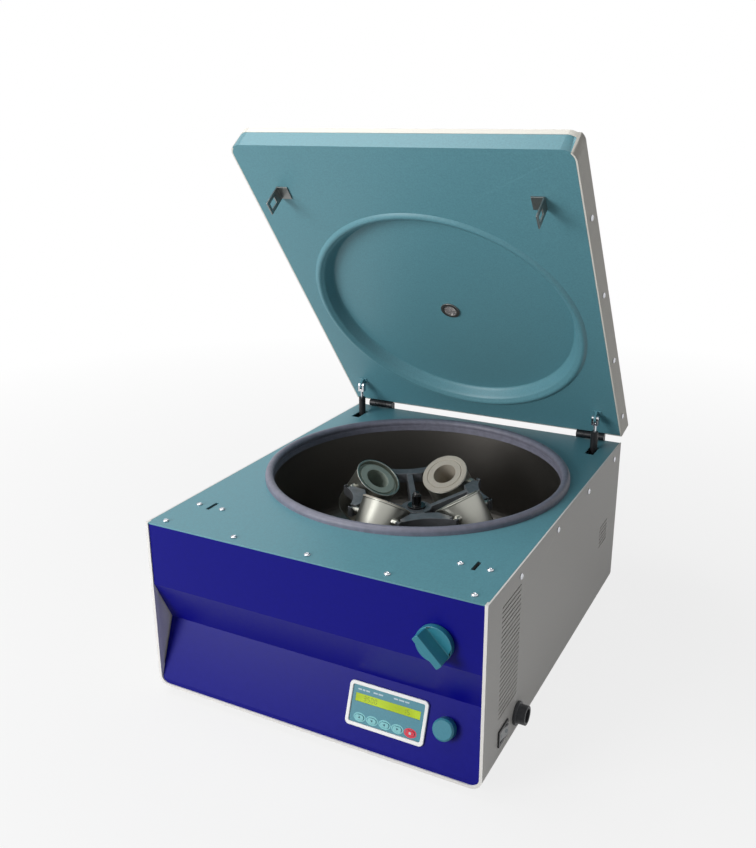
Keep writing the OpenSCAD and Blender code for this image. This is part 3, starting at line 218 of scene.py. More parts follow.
# Bare or zinc-plated metal, brushed, turned or cast: a fine grain breaks up its highlights,
# drawn out into parallel lines where stretch says so
def brushed_steel(name, colour, roughness=0.3, line_mm=1.5, stretch=(1, 1, 1), turn=(0, 0, 0), spread=0.1):
    material, tree, shader = new_material(name)
    finish(tree, shader, grain(tree, line_mm, stretch, turn), colour, spread, roughness, play=0.06,
           depth_mm=0.012)
    shader.inputs["Metallic"].default_value = 1.0
    return material


# Chromium plate: mirror-like, with the slight haze of handled metal
def chromium(name, colour, roughness=0.12):
    material, tree, shader = new_material(name)
    finish(tree, shader, grain(tree, size_mm=3.0), colour, 0.03, roughness, play=0.05)
    shader.inputs["Metallic"].default_value = 1.0
    return material


# Moulded plastic (ABS or nylon): even colour, satin from the mould's spark-eroded skin
def moulded_plastic(name, colour, roughness=0.42, grain_mm=1.4, spread=0.04, depth_mm=0.03):
    material, tree, shader = new_material(name)
    finish(tree, shader, grain(tree, grain_mm), colour, spread, roughness, play=0.05, depth_mm=depth_mm)
    return material


# Rubber: matt, soft-edged, with a bloom that greys it in patches
def rubber(name, colour, roughness=0.68):
    material, tree, shader = new_material(name)
    finish(tree, shader, grain(tree, size_mm=9.0, detail=4.0), colour, 0.12, roughness, play=0.07,
           depth_mm=0.05, relief=grain(tree, size_mm=1.2))
    return material


# Cast light alloy under hammer paint: shallow dimples that break up its sheen
def hammer_paint(name, colour, roughness=0.42):
    material, tree, shader = new_material(name)
    dimple_mm = 5.0
    place = add(tree, "ShaderNodeTexCoord")
    dimples = add(tree, "ShaderNodeTexVoronoi", {"feature": "SMOOTH_F1", "Scale": 1 / (dimple_mm * MM)},
                  place.outputs["Object"])
    finish(tree, shader, grain(tree, size_mm=14.0), colour, 0.16, roughness, play=0.08,
           depth_mm=0.25, relief=dimples.outputs["Distance"])
    shader.inputs["Metallic"].default_value = 0.25
    return material


# Backlit display behind a clear window: glows a little, under a gloss surface
def display(name, colour):
    material, tree, shader = new_material(name)
    finish(tree, shader, grain(tree, size_mm=30.0), colour, spread=0.12, roughness=0.18, play=0.04)
    tree.links.new(shader.inputs["Base Color"].links[0].from_socket, shader.inputs["Emission Color"])
    shader.inputs["Emission Strength"].default_value = 0.12
    return material


# Clear pane: thin, colourless, faintly smudged
def pane(name, colour):
    material, tree, shader = new_material(name)
    finish(tree, shader, grain(tree, size_mm=8.0), colour, spread=0.03, roughness=0.12, play=0.05)
    shader.inputs["Transmission Weight"].default_value = 0.7
    shader.inputs["IOR"].default_value = 1.49
    return material


# Circuit board: green solder mask, streaked where copper tracks run under it
def solder_mask(name, colour):
    material, tree, shader = new_material(name)
    finish(tree, shader, grain(tree, size_mm=3.0, stretch=(1, 0.2, 1)), colour, spread=0.25,
           roughness=0.35, play=0.05)
    return material


# Screen-printed ink: a thin, flat, matt layer
def ink(name, colour):
    material, tree, shader = new_material(name)
    finish(tree, shader, grain(tree, size_mm=1.0), colour, spread=0.05, roughness=0.55, play=0.05)
    return material


def slot_of(node):
    """The record's material slot of a CAD node."""
    return next(s["material_slot"] for s in frame["record"]["subparts"] if s["node"] == node)


def new_object(name, data):
    """A new object of the scene that holds the data."""
    thing = bpy.data.objects.new(name, data)
    bpy.context.scene.collection.objects.link(thing)
    return thing


def new_mesh(name, bm):
    """A mesh from a bmesh, which is used up."""
    mesh = bpy.data.meshes.new(name)
    bm.to_mesh(mesh)
    bm.free()
    return mesh


def smooth(mesh, sharp_degrees=35, small=2e-5, large=1e-3, few_corners=6):
    """Smooth shading up to sharp edges; large flats, and middling ones of many corners, stay flat.

    The areas small and large are in square metres.
    """
    mesh.shade_smooth()
    mesh.set_sharp_from_angle(angle=math.radians(sharp_degrees))
    for face in mesh.polygons:
        simple = len(face.vertices) <= few_corners
        face.use_smooth = face.area < small or (face.area < large and simple)


def finished_piece(name, mesh, material):
    """A smooth-shaded piece with its material."""
    smooth(mesh)
    mesh.materials.append(material)
    return new_object(name, mesh)


def stand_in(piece, node):
    """Puts a finished copy in the place of its CAD node."""
    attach(piece, NODES[node]["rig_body"])
    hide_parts(node)


def copied(node):
    """A bmesh of a CAD node with its loose triangles joined."""
    same_place = 0.001 * MM
    bm = bmesh.new()
    bm.from_mesh(NODES[node].data)
    bmesh.ops.remove_doubles(bm, verts=bm.verts, dist=same_place)
    return bm


def softened(node, radius_mm, material, segments=2, sharper_than=30, shape=None, sheet=False):
    """Stands a copy of a CAD node, shaped and with its edges rounded, in the node's place."""
    bm = copied(node)
    if shape:
        shape(bm)
    same_plane = math.radians(0.2)
    bmesh.ops.dissolve_limit(bm, angle_limit=same_plane, verts=bm.verts, edges=bm.edges,
                             delimit={"NORMAL"})
    limit = math.radians(sharper_than)
    edges = [e for e in bm.edges if e.is_manifold and e.calc_face_angle() > limit]
    bmesh.ops.bevel(bm, geom=edges, offset=radius_mm * MM, offset_type="OFFSET", affect="EDGES",
                    segments=segments, profile=0.5, material=-1, clamp_overlap=True)
    name = node + "_finished"
    piece = finished_piece(name, new_mesh(name, bm), material)
    if not sheet:
        even = piece.modifiers.new("Even normals", "WEIGHTED_NORMAL")
        even.keep_sharp = True
    stand_in(piece, node)


def finish_node(node, material):
    """Gives a CAD node its material."""
    NODES[node].data.materials.clear()
    NODES[node].data.materials.append(material)


# ---------- placing by the photograph and on surfaces ----------

def image_ray(x, y):
    """Start and direction of the camera's ray through an image point."""
    camera = bpy.context.scene.camera
    eye = camera.data
    along = Vector((x - FRAME_W / 2 + eye.shift_x * LONG_SIDE, FRAME_H / 2 - y + eye.shift_y * LONG_SIDE,
                    -LONG_SIDE * eye.lens / eye.sensor_width))
    return camera.matrix_world.translation.copy(), (camera.matrix_world.to_3x3() @ along).normalized()


def image_of(place):
    """Image point at which a place shows: the same relation as image_ray, the other way."""
    camera = bpy.context.scene.camera
    eye = camera.data
    seen = camera.matrix_world.inverted() @ place
    scale = LONG_SIDE * eye.lens / eye.sensor_width / -seen.z
    return (seen.x * scale + FRAME_W / 2 - eye.shift_x * LONG_SIDE,
            FRAME_H / 2 + eye.shift_y * LONG_SIDE - seen.y * scale)


def tree_of(piece):
    """Search tree of a piece as finished and placed."""
    return BVHTree.FromObject(piece, bpy.context.evaluated_depsgraph_get())


def placed(point, carrier):
    """Place where a point's ray meets the carrier, or where the carrier is nearest to the ray."""
    start, along = image_ray(*POINTS[point])
    tree = tree_of(carrier)
    place = tree.ray_cast(start, along)[0]
    if place is None:
        place = start + along
        rounds = 20
        for _ in range(rounds):
            on_ray = start + along * (place - start).dot(along)
            place = tree.find_nearest(on_ray)[0]
    return place


def top_of(carrier, over, facing):
    """Place and normal where a line against the facing direction, through a point, meets the carrier."""
    clear = 50 * MM
    place, normal = tree_of(carrier).ray_cast(over + facing * clear, -facing)[:2]
    if place is None:
        raise RuntimeError("nothing under the mark on " + carrier.name)
    return place, normal


def middle_of(node):
    """Middle of a CAD node's box."""
    low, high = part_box(node)
    return (Vector(low) + Vector(high)) / 2


def lying(place, normal, up=UP):
    """Turns flat work so that it lies at a place, with its top towards up."""
    right = up.cross(normal).normalized()
    turn = Matrix((right, normal.cross(right), normal)).transposed()
    return Matrix.Translation(place) @ turn.to_4x4()


def bar(bm, x, y, width, height):
    """A flat rectangle, in mm."""
    scale = Matrix.Diagonal((width * MM, height * MM, 1, 1))
    bmesh.ops.create_grid(bm, x_segments=1, y_segments=1, size=0.5,
                          matrix=Matrix.Translation((x * MM, y * MM, 0)) @ scale)


def raised(bm, low_mm, high_mm):
    """Gives flat work a thickness, from low to high."""
    bmesh.ops.translate(bm, verts=bm.verts, vec=(0, 0, low_mm * MM))
    upper = bmesh.ops.extrude_face_region(bm, geom=bm.faces[:], use_keep_orig=True)["geom"]
    moved = [v for v in upper if isinstance(v, bmesh.types.BMVert)]
    bmesh.ops.translate(bm, verts=moved, vec=(0, 0, (high_mm - low_mm) * MM))


def printed(bm, name, body, material, where):
    """A printed mark: flat work of the print's height, lying on a surface."""
    height = bpy.context.scene.centrifuge_sizes.print_height
    raised(bm, -height / 2, height)
    bmesh.ops.transform(bm, matrix=where, verts=bm.verts)
    bmesh.ops.recalc_face_normals(bm, faces=bm.faces)
    piece = finished_piece(name, new_mesh(name, bm), material)
    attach(piece, body)


def write_points():
    """Gathers, for each point, the finished vertices and their places in the picture, for a named piece
    those that show; nothing is written.
    """
    scene = bpy.context.scene
    graph = bpy.context.evaluated_depsgraph_get()
    eye = scene.camera.matrix_world.translation
    hair = 1.5 * MM
    pieces = [o for o in scene.objects if o.type == "MESH" and not o.hide_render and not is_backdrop(o)]
    for point, (name, to_x, to_y) in SHOWN.items():
        shown = []
        for piece in pieces if name is None else [bpy.data.objects[name]]:
            for vertex in piece.data.vertices:
                shown.append((image_of(vertex.co), vertex.co))
        if name is not None:
            seen = []
            for at, place in shown:
                gap = place - eye
                hit = scene.ray_cast(graph, eye, gap.normalized(), distance=gap.length - hair)
                if not hit[0] or hit[4].name == name:
                    seen.append((at, place))
            shown = seen or shown


# ---------- what a user may change ----------

def colour_property(name, description, hex_colour):
    """A colour with its name, description and default."""
    return bpy.props.FloatVectorProperty(name=name, description=description, subtype="COLOR", size=4,
                                         min=0.0, max=1.0, default=linear(hex_colour))


class CentrifugeColours(bpy.types.PropertyGroup):
    """Colours of the painted and moulded pieces"""
    shell: colour_property("Shell", "Pale coat of the wrap-round shell", "#E6E4E0")
    lid: colour_property("Lid", "Pale coat of the lid's outer skin", "#E8E5DC")
    deck: colour_property("Deck", "Turquoise coat of the deck and the lid's inside", "#5E939F")
    front: colour_property("Front", "Ultramarine enamel of the front", "#08087A")
    knob: colour_property("Knobs", "Teal plastic of the lock knob and the dial", "#2A7A8C")
    keypad: colour_property("Keypad", "Teal film of the keypad", "#3C8090")
    key: colour_property("Keys", "Pale teal of the four keys", "#7ABCC0")
    stop: colour_property("Stop key", "Red of the stop key", "#D02840")
    lcd: colour_property("Display", "Yellow-green of the display", "#A8C000")
    cream: colour_property("Cream adapters", "Moulded nylon, cream", "#B9B1A4")
    # The grey-green adapters are partly their own grey-green nylon and partly drawn darker as painted
    # shade; the cream ones are the lit copy
    sage_and_shade: colour_property("Grey adapters", "Moulded nylon, grey-green, darkened as painted shade", "#98A298")
    yoke: colour_property("Rotor", "Slate hammer paint of the rotor", "#686A6E")


class CentrifugeSizes(bpy.types.PropertyGroup):
    """Sizes of the small fittings that the scene adds"""
    edge: bpy.props.FloatProperty(name="Edge radius", default=0.6, min=0.1, max=1.5,
                                  description="Rounding of a folded sheet's edges, in mm")
    recess: bpy.props.FloatProperty(name="Cross recess", default=1.1, min=0.4, max=1.3,
                                    description="Arm width of a screw's cross recess, in mm")
    lid_corner: bpy.props.FloatProperty(name="Lid corner", default=18.0, min=4.0, max=30.0,
                                        description="Radius of the lid's front corners, in mm")
    print_height: bpy.props.FloatProperty(name="Print", default=0.12, min=0.05, max=0.4,
                                          description="Height of printed marks, in mm")


class CentrifugeStage(bpy.types.PropertyGroup):
    """Camera and lamps"""
    camera_at: bpy.props.FloatVectorProperty(name="Camera", subtype="TRANSLATION",
                                             default=(0.5534, -1.1741, 0.7716),
                                             description="Camera's place in the part's frame")
    azimuth: bpy.props.FloatProperty(name="Azimuth", subtype="ANGLE", default=math.radians(27.77),
                                     description="Turn of the view from straight ahead")
    elevation: bpy.props.FloatProperty(name="Elevation", subtype="ANGLE", default=math.radians(18.69),
                                       description="Angle of the view below level")
    roll: bpy.props.FloatProperty(name="Roll", subtype="ANGLE", default=math.radians(-0.37),
                                  description="Turn of the picture")
    lens: bpy.props.FloatProperty(name="Lens", default=39.70, description="Focal length in mm")
    key_power: bpy.props.FloatProperty(name="Key lamp", default=62.0,
                                       description="Power of the large lamp at the front left, in W")
    fill_power: bpy.props.FloatProperty(name="Fill lamp", default=24.0,
                                        description="Power of the lamp overhead, in W")
    world: bpy.props.FloatProperty(name="World", default=0.14,
                                   description="Strength of the light from all round")


# ---------- stage ----------

class CENTRIFUGE_OT_stage(bpy.types.Operator):
    """White floor, soft lamps, pale world and the photograph's camera"""
    bl_idname = "centrifuge.stage"
    bl_label = "Stage"

    # Metres: the floor's width, where the lamps stand, how wide they are, and what they aim at
    floor_width = 60.0
    key_place, key_size = (-1.4, -2.4, 1.0), 1.3
    fill_place, fill_size = (-0.8, -0.3, 2.3), 1.2
    aim = (0, 0, 0.25)

    def seen(self, tree):
        """1 for camera, glossy and transmitted rays, 0 for the rays that light the object."""
        path = add(tree, "ShaderNodeLightPath")
        looks = add(tree, "ShaderNodeMath", {"operation": "MAXIMUM"},
                    path.outputs["Is Camera Ray"], path.outputs["Is Glossy Ray"])
        both = add(tree, "ShaderNodeMath", {"operation": "MAXIMUM"},
                   looks.outputs[0], path.outputs["Is Transmission Ray"])
        return both.outputs[0]

    def floor(self):
        """A wide floor that the camera sees as white, with the object's shadow left on it close by."""
        bm = bmesh.new()
        bmesh.ops.create_grid(bm, x_segments=1, y_segments=1, size=self.floor_width / 2)
        floor = new_object("floor", new_mesh("floor", bm))
        material = bpy.data.materials.new("Matt white floor")
        material.use_nodes = True
        tree = material.node_tree
        tree.nodes.clear()
        matt = add(tree, "ShaderNodeBsdfDiffuse", {"Color": linear("#C8C8C8")})
        light = add(tree, "ShaderNodeEmission", {"Color": WHITE, "Strength": 1.0})
        place = add(tree, "ShaderNodeTexCoord")
        away = add(tree, "ShaderNodeVectorMath", {"operation": "LENGTH"}, place.outputs["Object"])
        # Plain white from 2 m on; within 0.5 m, 18% of the matt floor with its shadow shows through
        whiteness = add(tree, "ShaderNodeMapRange", {"From Min": 0.5, "From Max": 2.0, "To Min": 0.82},
                        away.outputs["Value"])
        amount = add(tree, "ShaderNodeMath", {"operation": "MULTIPLY"},
                     self.seen(tree), whiteness.outputs["Result"])
        mix = add(tree, "ShaderNodeMixShader", None, amount.outputs[0], matt.outputs[0], light.outputs[0])
        add(tree, "ShaderNodeOutputMaterial", Surface=mix.outputs[0])
        floor.data.materials.append(material)
        floor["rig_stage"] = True

    def world(self, strength):
        """An even light from all round, behind a white that the camera sees."""
        world = bpy.data.worlds.new("Pale studio")
        bpy.context.scene.world = world
        world.use_nodes = True
        tree = world.node_tree
        tree.nodes.clear()
        lit = add(tree, "ShaderNodeBackground", {"Color": WHITE, "Strength": strength})
        seen = add(tree, "ShaderNodeBackground", {"Color": WHITE, "Strength": 1.0})
        mix = add(tree, "ShaderNodeMixShader", None, self.seen(tree), lit.outputs[0], seen.outputs[0])
        add(tree, "ShaderNodeOutputWorld", Surface=mix.outputs[0])

    def lamp(self, name, place, size, power):
        """A square lamp that faces the object's middle."""
        data = bpy.data.lights.new(name, "AREA")
        data.size = size
        data.energy = power
        lamp = new_object(name, data)
        lamp.location = place
        lamp.rotation_mode = "QUATERNION"
        lamp.rotation_quaternion = (Vector(self.aim) - Vector(place)).to_track_quat("-Z", "Y")

    def camera(self, settings):
        """The photograph's camera."""
        data = bpy.data.cameras.new("Camera")
        data.sensor_fit = "AUTO"
        data.lens = settings.lens
        camera = new_object("Camera", data)
        turn = (Matrix.Rotation(settings.azimuth, 4, "Z")
                @ Matrix.Rotation(math.pi / 2 - settings.elevation, 4, "X")
                @ Matrix.Rotation(settings.roll, 4, "Z"))
        camera.matrix_world = Matrix.Translation(Vector(settings.camera_at)) @ turn
        bpy.context.scene.camera = camera
        bpy.context.view_layer.update()

    def execute(self, context):
        settings = context.scene.centrifuge_stage
        context.scene.view_settings.view_transform = "Standard"
        self.floor()
        self.world(settings.world)
        self.lamp("Key lamp", self.key_place, self.key_size, settings.key_power)
        self.lamp("Overhead lamp", self.fill_place, self.fill_size, settings.fill_power)
        self.camera(settings)
        return {"FINISHED"}


# ---------- cabinet and lid ----------

class CENTRIFUGE_OT_sheet_metal(bpy.types.Operator):
    """Folded and painted sheets of the cabinet and the lid, with their edges rounded"""
    bl_idname = "centrifuge.sheet_metal"
    bl_label = "Sheet metal"

    def round_corner(self, bm, centre, aside, ahead):
        """Bends what lies beyond the centre, both aside and ahead, from a square corner to a round one."""
        for cut in (aside, ahead):
            bmesh.ops.bisect_plane(bm, geom=bm.verts[:] + bm.edges[:] + bm.faces[:],
                                   plane_co=centre, plane_no=cut)
        steps = 12
        for step in range(1, steps):
            angle = math.pi / 2 * step / steps
            near = [f for f in bm.faces if (f.calc_center_median() - centre).dot(aside) > 0
                    and (f.calc_center_median() - centre).dot(ahead) > 0]
            edges = sorted({e for f in near for e in f.edges}, key=lambda e: e.index)
            verts = sorted({v for f in near for v in f.verts}, key=lambda v: v.index)
            bmesh.ops.bisect_plane(bm, geom=near + edges + verts, plane_co=centre,
                                   plane_no=ahead * math.cos(angle) - aside * math.sin(angle))
            bm.edges.index_update()
            bm.verts.index_update()
        for vertex in bm.verts:
            across = (vertex.co - centre).dot(aside)
            onward = (vertex.co - centre).dot(ahead)
            if across > 0 and onward > 0:
                share = max(across, onward) / math.hypot(across, onward) - 1
                vertex.co += aside * across * share + ahead * onward * share

    def round_corners(self, bm):
        """Rounds the lid's two front corners, skin and plate alike, about shared centres."""
        radius = bpy.context.scene.centrifuge_sizes.lid_corner * MM
        skin = NODES["lid_skin"].data
        normal = max(skin.polygons, key=lambda face: face.area).normal
        ahead = Vector((1, 0, 0)).cross(normal)
        ahead = ahead if ahead.z > 0 else -ahead
        front = max(v.co.dot(ahead) for v in skin.vertices) - radius
        for side in (-1, 1):
            aside = Vector((side, 0, 0))
            flank = max(v.co.dot(aside) for v in skin.vertices) - radius
            self.round_corner(bm, aside * flank + ahead * front, aside, ahead)

    def execute(self, context):
        colours = context.scene.centrifuge_colours
        edge = context.scene.centrifuge_sizes.edge
        front_edge = edge * 1.6
        shell = powder_coat("Shell powder coat", colours.shell, spread=0.03, roughness=0.5)
        lid = powder_coat("Lid powder coat", colours.lid, spread=0.03, roughness=0.5)
        deck = powder_coat("Turquoise powder coat", colours.deck, spread=0.09, roughness=0.44,
                           specular=0.5)
        front = enamel("Ultramarine enamel", colours.front, roughness=0.34)
        softened("wrap_shell", edge, shell, sheet=True)
        finish_node("rear_panel", shell)
        softened("lid_skin", edge, lid, shape=self.round_corners, sheet=True)
        softened("lid_plate", edge, deck, shape=self.round_corners, sheet=True)
        softened("deck_panel", edge, deck, sheet=True)
        softened("strut_tongues", edge, deck)
        softened("front_panel", front_edge, front, segments=3, sharper_than=12, sheet=True)
        return {"FINISHED"}


class CENTRIFUGE_OT_inner_works(bpy.types.Operator):
    """Chamber, guard, motor, boards, brackets and feet"""
    bl_idname = "centrifuge.inner_works"
    bl_label = "Chamber and inner works"

    def execute(self, context):
        # The bowl's steel is drawn far darker than bare stainless: a painted shade of the deep chamber
        bowl = brushed_steel("Spun stainless bowl", linear("#706D69"), roughness=0.40, line_mm=2.0,
                             stretch=(1, 1, 14))
        zinc = brushed_steel("Zinc-plated steel", linear("#A4A6A8"), roughness=0.42, line_mm=1.2,
                             stretch=(0.2, 1, 1))
        primed = enamel("Primed steel", linear("#55585C"), roughness=0.55)
        alloy = brushed_steel("Die-cast alloy", linear("#9A9C9E"), roughness=0.5, line_mm=2.0)
        soft = rubber("Black rubber", linear("#242426"))
        seal = rubber("Grey seal rubber", linear("#70707E"), roughness=0.5)
        board = solder_mask("Solder mask", linear("#1F5A3A"))
        for node in ("chassis_plate", "latch_keepers", "lock_bracket", "strut_feet", "latch_bar_right",
                     "latch_bar_left", "lock_shaft"):
            finish_node(node, zinc)
        finish_node("chamber_bowl", bowl)
        finish_node("chamber_gasket", seal)
        finish_node("guard_ring", primed)
        finish_node("motor_housing", alloy)
        for node in ("motor_mounts", "shaft_boot"):
            finish_node(node, soft)
        softened("feet", 0.8, soft)
        for node in ("drive_board", "display_board"):
            finish_node(node, board)
        return {"FINISHED"}


class CENTRIFUGE_OT_hinges_and_struts(bpy.types.Operator):
    """Black hinges, gas struts, strikers and the sight port"""
    bl_idname = "centrifuge.hinges_and_struts"
    bl_label = "Hinges, struts and lid fittings"

    def execute(self, context):
        black = powder_coat("Black oxide steel", linear("#17171A"), grain_mm=1.0, roughness=0.4,
                            depth_mm=0.02)
        chrome = chromium("Chromium plate", linear("#D4D6DA"))
        bright = brushed_steel("Bright zinc plate", linear("#8E908E"), roughness=0.42, line_mm=1.0,
                               stretch=(1, 0.2, 0.2))
        turned = brushed_steel("Turned aluminium", linear("#8C8A88"), roughness=0.4, line_mm=0.8)
        for node in ("hinge_leaves", "lid_knuckles", "strut_tube_left", "strut_tube_right"):
            softened(node, 0.4, black)
        for node in ("strut_fork_left", "strut_fork_right"):
            softened(node, 0.3, chrome)
        for node in ("strut_rod_left", "strut_rod_right"):
            finish_node(node, chrome)
        softened("lid_strikers", 0.3, bright)
        softened("port_ring", 0.4, turned)
        finish_node("port_glass", pane("Acrylic pane", linear("#C8C4C4")))
        return {"FINISHED"}


# ---------- rotor ----------

class CENTRIFUGE_OT_rotor(bpy.types.Operator):
    """Cast yoke, shaft, nut, steel buckets and their adapters"""
    bl_idname = "centrifuge.rotor"
    bl_label = "Rotor"

    def execute(self, context):
        colours = context.scene.centrifuge_colours
        phenolic = moulded_plastic("Glossy black phenolic", linear("#101012"), roughness=0.16)
        ground = brushed_steel("Ground shaft steel", linear("#A8AAAC"), roughness=0.25, line_mm=0.8,
                               stretch=(1, 1, 10))
        cream = moulded_plastic("Cream nylon", colours.cream, roughness=0.48)
        sage_and_shade = moulded_plastic("Grey-green nylon", colours.sage_and_shade, roughness=0.48)
        softened("rotor_yoke", 0.9, hammer_paint("Slate hammer paint", colours.yoke))
        softened("rotor_nut", 0.5, phenolic)
        finish_node("drive_shaft", ground)
        for k in range(1, 5):
            turned = brushed_steel("Turned bucket steel %d" % k, linear("#A8A8A0"), roughness=0.34,
                                   line_mm=1.4, stretch=(1, 1, 12), turn=self.bucket_turn(k))
            softened("bucket_%d" % k, 0.5, turned)
            # Every second adapter takes the darker grey-green: partly its own tint, partly painted shade
            softened("adapter_%d" % k, 0.6, cream if k % 2 else sage_and_shade)
        return {"FINISHED"}

    def bucket_turn(self, k):
        """Turn of a bucket's own axis, from its tube hole's mount."""
        mount = next(m for m in frame["record"]["mounts"] if m["name"] == "tube_hole_%d" % k)
        return Vector(mount["axis"]).to_track_quat("Z", "Y").to_euler()


# ---------- front and side controls ----------

class CENTRIFUGE_OT_controls(bpy.types.Operator):
    """Lock knob, dial, keypad, rocker switch and power inlet"""
    bl_idname = "centrifuge.controls"
    bl_label = "Controls"

    def execute(self, context):
        colours = context.scene.centrifuge_colours
        teal = moulded_plastic("Teal ABS", colours.knob, roughness=0.34)
        white = moulded_plastic("White ABS", linear("#EDEDEA"), roughness=0.4, spread=0.01)
        film = moulded_plastic("Keypad film", colours.keypad, roughness=0.36, spread=0.08)
        cap = moulded_plastic("Key cap", colours.key, roughness=0.34)
        stop = moulded_plastic("Stop key cap", colours.stop, roughness=0.3)
        black = moulded_plastic("Black ABS", linear("#161618"), roughness=0.4)
        grey = moulded_plastic("Light grey polycarbonate", linear("#B9BBBD"), roughness=0.3)
        dark = moulded_plastic("Dark grey nylon", linear("#3A3C40"), roughness=0.5)
        softened("lock_knob", 1.2, teal, segments=3)
        softened("speed_dial", 1.0, teal, segments=3, sharper_than=20)
        softened("keypad_bezel", 0.9, white, segments=3)
        finish_node("keypad_face", film)
        finish_node("lcd_window", display("Backlit display", colours.lcd))
        for k in range(1, 5):
            softened("key_%d" % k, 0.5, cap)
        softened("stop_key", 0.5, stop)
        softened("switch_frame", 0.5, black)
        softened("switch_rocker", 0.5, grey)
        softened("power_inlet", 0.5, dark)
        return {"FINISHED"}


class CENTRIFUGE_OT_prints(bpy.types.Operator):
    """Plain printed marks of the keypad, the display and the switch"""
    bl_idname = "centrifuge.prints"
    bl_label = "Printed marks"

    # The seven segments that make each digit: a on top, then clockwise, g in the middle
    segments = {"0": "abcdef", "1": "bc", "3": "abcdg", "5": "acdfg"}

    # All in mm. Bars stand in for the captions over the display
    captions = (("legend_left", (5.0, 3.6, 5.2)), ("legend_middle", (5.6, 6.4)),
                ("legend_right", (5.6, 7.4, 5.6)))
    caption_height, caption_gap = 1.8, 1.2
    # The display's figures, and how far right of its middle they stand
    figures = (("speed_figures", -24.0, "3500"), ("time_figures", 26.0, "15"))
    digit_height, digit_pitch = 5.6, 5.0
    # Half width and half height of the ovals round the keys, and a place on the film beside a key
    ovals = ((7.0, 3.8), (8.4, 5.7))
    beside_key = 7.9
    # Arrow heads on the keys, in degrees: up, down, left, right
    arrows = (90, -90, 180, 0)
    arrow_radius, stop_side = 1.9, 2.8
    # The rocker's signs: a bar and a ring, each this far from the rocker's middle
    sign_offset = 6.0
    on_bar = (0.8, 4.4)
    off_ring = (1.5, 2.2)

    def digit(self, bm, x, strokes):
        """One seven-segment digit, its middle at x, in mm."""
        height = self.digit_height
        width, line, gap = height * 0.5, height * 0.1, height * 0.04
        upright = (line, height / 2 - line - gap)
        level = (width - line - gap, line)
        places = {"a": (0, height / 2, level), "b": (width / 2, height / 4, upright),
                  "c": (width / 2, -height / 4, upright), "d": (0, -height / 2, level),
                  "e": (-width / 2, -height / 4, upright), "f": (-width / 2, height / 4, upright),
                  "g": (0, 0, level)}
        for stroke in strokes:
            dx, y, (w, h) = places[stroke]
            bar(bm, x + dx, y, w, h)

    def print_captions(self, film, facing, material, slot):
        """Rows of short bars where the keypad's captions are."""
        gap = self.caption_gap
        for name, bars in self.captions:
            place = placed(name, film)
            bm = bmesh.new()
            x = -(sum(bars) + gap * (len(bars) - 1)) / 2
            for length in bars:
                bar(bm, x + length / 2, 0, length, self.caption_height)
                x += length + gap
            printed(bm, name, film["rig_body"], material, lying(place, facing))

    def print_figures(self, facing, material, slot):
        """The two figures of the display."""
        window = NODES["lcd_window"]
        right = UP.cross(facing).normalized()
        for name, offset, digits in self.figures:
            place = top_of(window, middle_of("lcd_window") + right * offset * MM, facing)[0]
            bm = bmesh.new()
            for number, figure in enumerate(digits):
                self.digit(bm, (number - (len(digits) - 1) / 2) * self.digit_pitch, self.segments[figure])
            printed(bm, name, window["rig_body"], material, lying(place, facing))

    def print_ovals(self, film, facing, colours, slot):
        """An oval ring on the film round each key."""
        left = facing.cross(UP).normalized()
        for number, node in enumerate(("key_1", "key_2", "key_3", "key_4", "stop_key"), start=1):
            colour = colours.stop if node == "stop_key" else colours.key
            beside = top_of(film, middle_of(node) + left * self.beside_key * MM, facing)[0]
            above_film = (middle_of(node) - beside).dot(facing)
            bm = bmesh.new()
            for half_width, half_height in self.ovals:
                bmesh.ops.create_circle(bm, segments=48, radius=MM,
                                        matrix=Matrix.Diagonal((half_width, half_height, 1, 1)))
            bmesh.ops.bridge_loops(bm, edges=bm.edges)
            printed(bm, node + "_oval", film["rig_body"], ink("Oval ink %d" % number, colour),
                    lying(middle_of(node) - facing * above_film, facing))

    def print_key_marks(self, facing, arrow_ink, stop_ink, slot):
        """Arrow heads on the four keys and a square on the stop key."""
        for k, turn in enumerate(self.arrows, start=1):
            key = bpy.data.objects["key_%d_finished" % k]
            place = top_of(key, middle_of("key_%d" % k), facing)[0]
            bm = bmesh.new()
            bmesh.ops.create_circle(bm, cap_ends=True, segments=3, radius=self.arrow_radius * MM,
                                    matrix=Matrix.Rotation(math.radians(turn - 90), 4, "Z"))
            printed(bm, "key_%d_mark" % k, key["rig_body"], arrow_ink, lying(place, facing))
        stop = bpy.data.objects["stop_key_finished"]
        place = top_of(stop, middle_of("stop_key"), facing)[0]
        bm = bmesh.new()
        bar(bm, 0, 0, self.stop_side, self.stop_side)
        printed(bm, "stop_mark", stop["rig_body"], stop_ink, lying(place, facing))

    def print_switch_signs(self, material, slot):
        """On and off signs at the rocker's two ends."""
        rocker = bpy.data.objects["switch_rocker_finished"]
        outward = Vector((1, 0, 0))
        along = Vector((0, self.sign_offset * MM, 0))
        bm = bmesh.new()
        bar(bm, 0, 0, *self.on_bar)
        place, normal = top_of(rocker, middle_of("switch_rocker") - along, outward)
        printed(bm, "on_mark", rocker["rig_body"], material, lying(place, normal))
        bm = bmesh.new()
        for radius in self.off_ring:
            bmesh.ops.create_circle(bm, segments=32, radius=radius * MM)
        bmesh.ops.bridge_loops(bm, edges=bm.edges)
        place, normal = top_of(rocker, middle_of("switch_rocker") + along, outward)
        printed(bm, "off_mark", rocker["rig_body"], material, lying(place, normal))

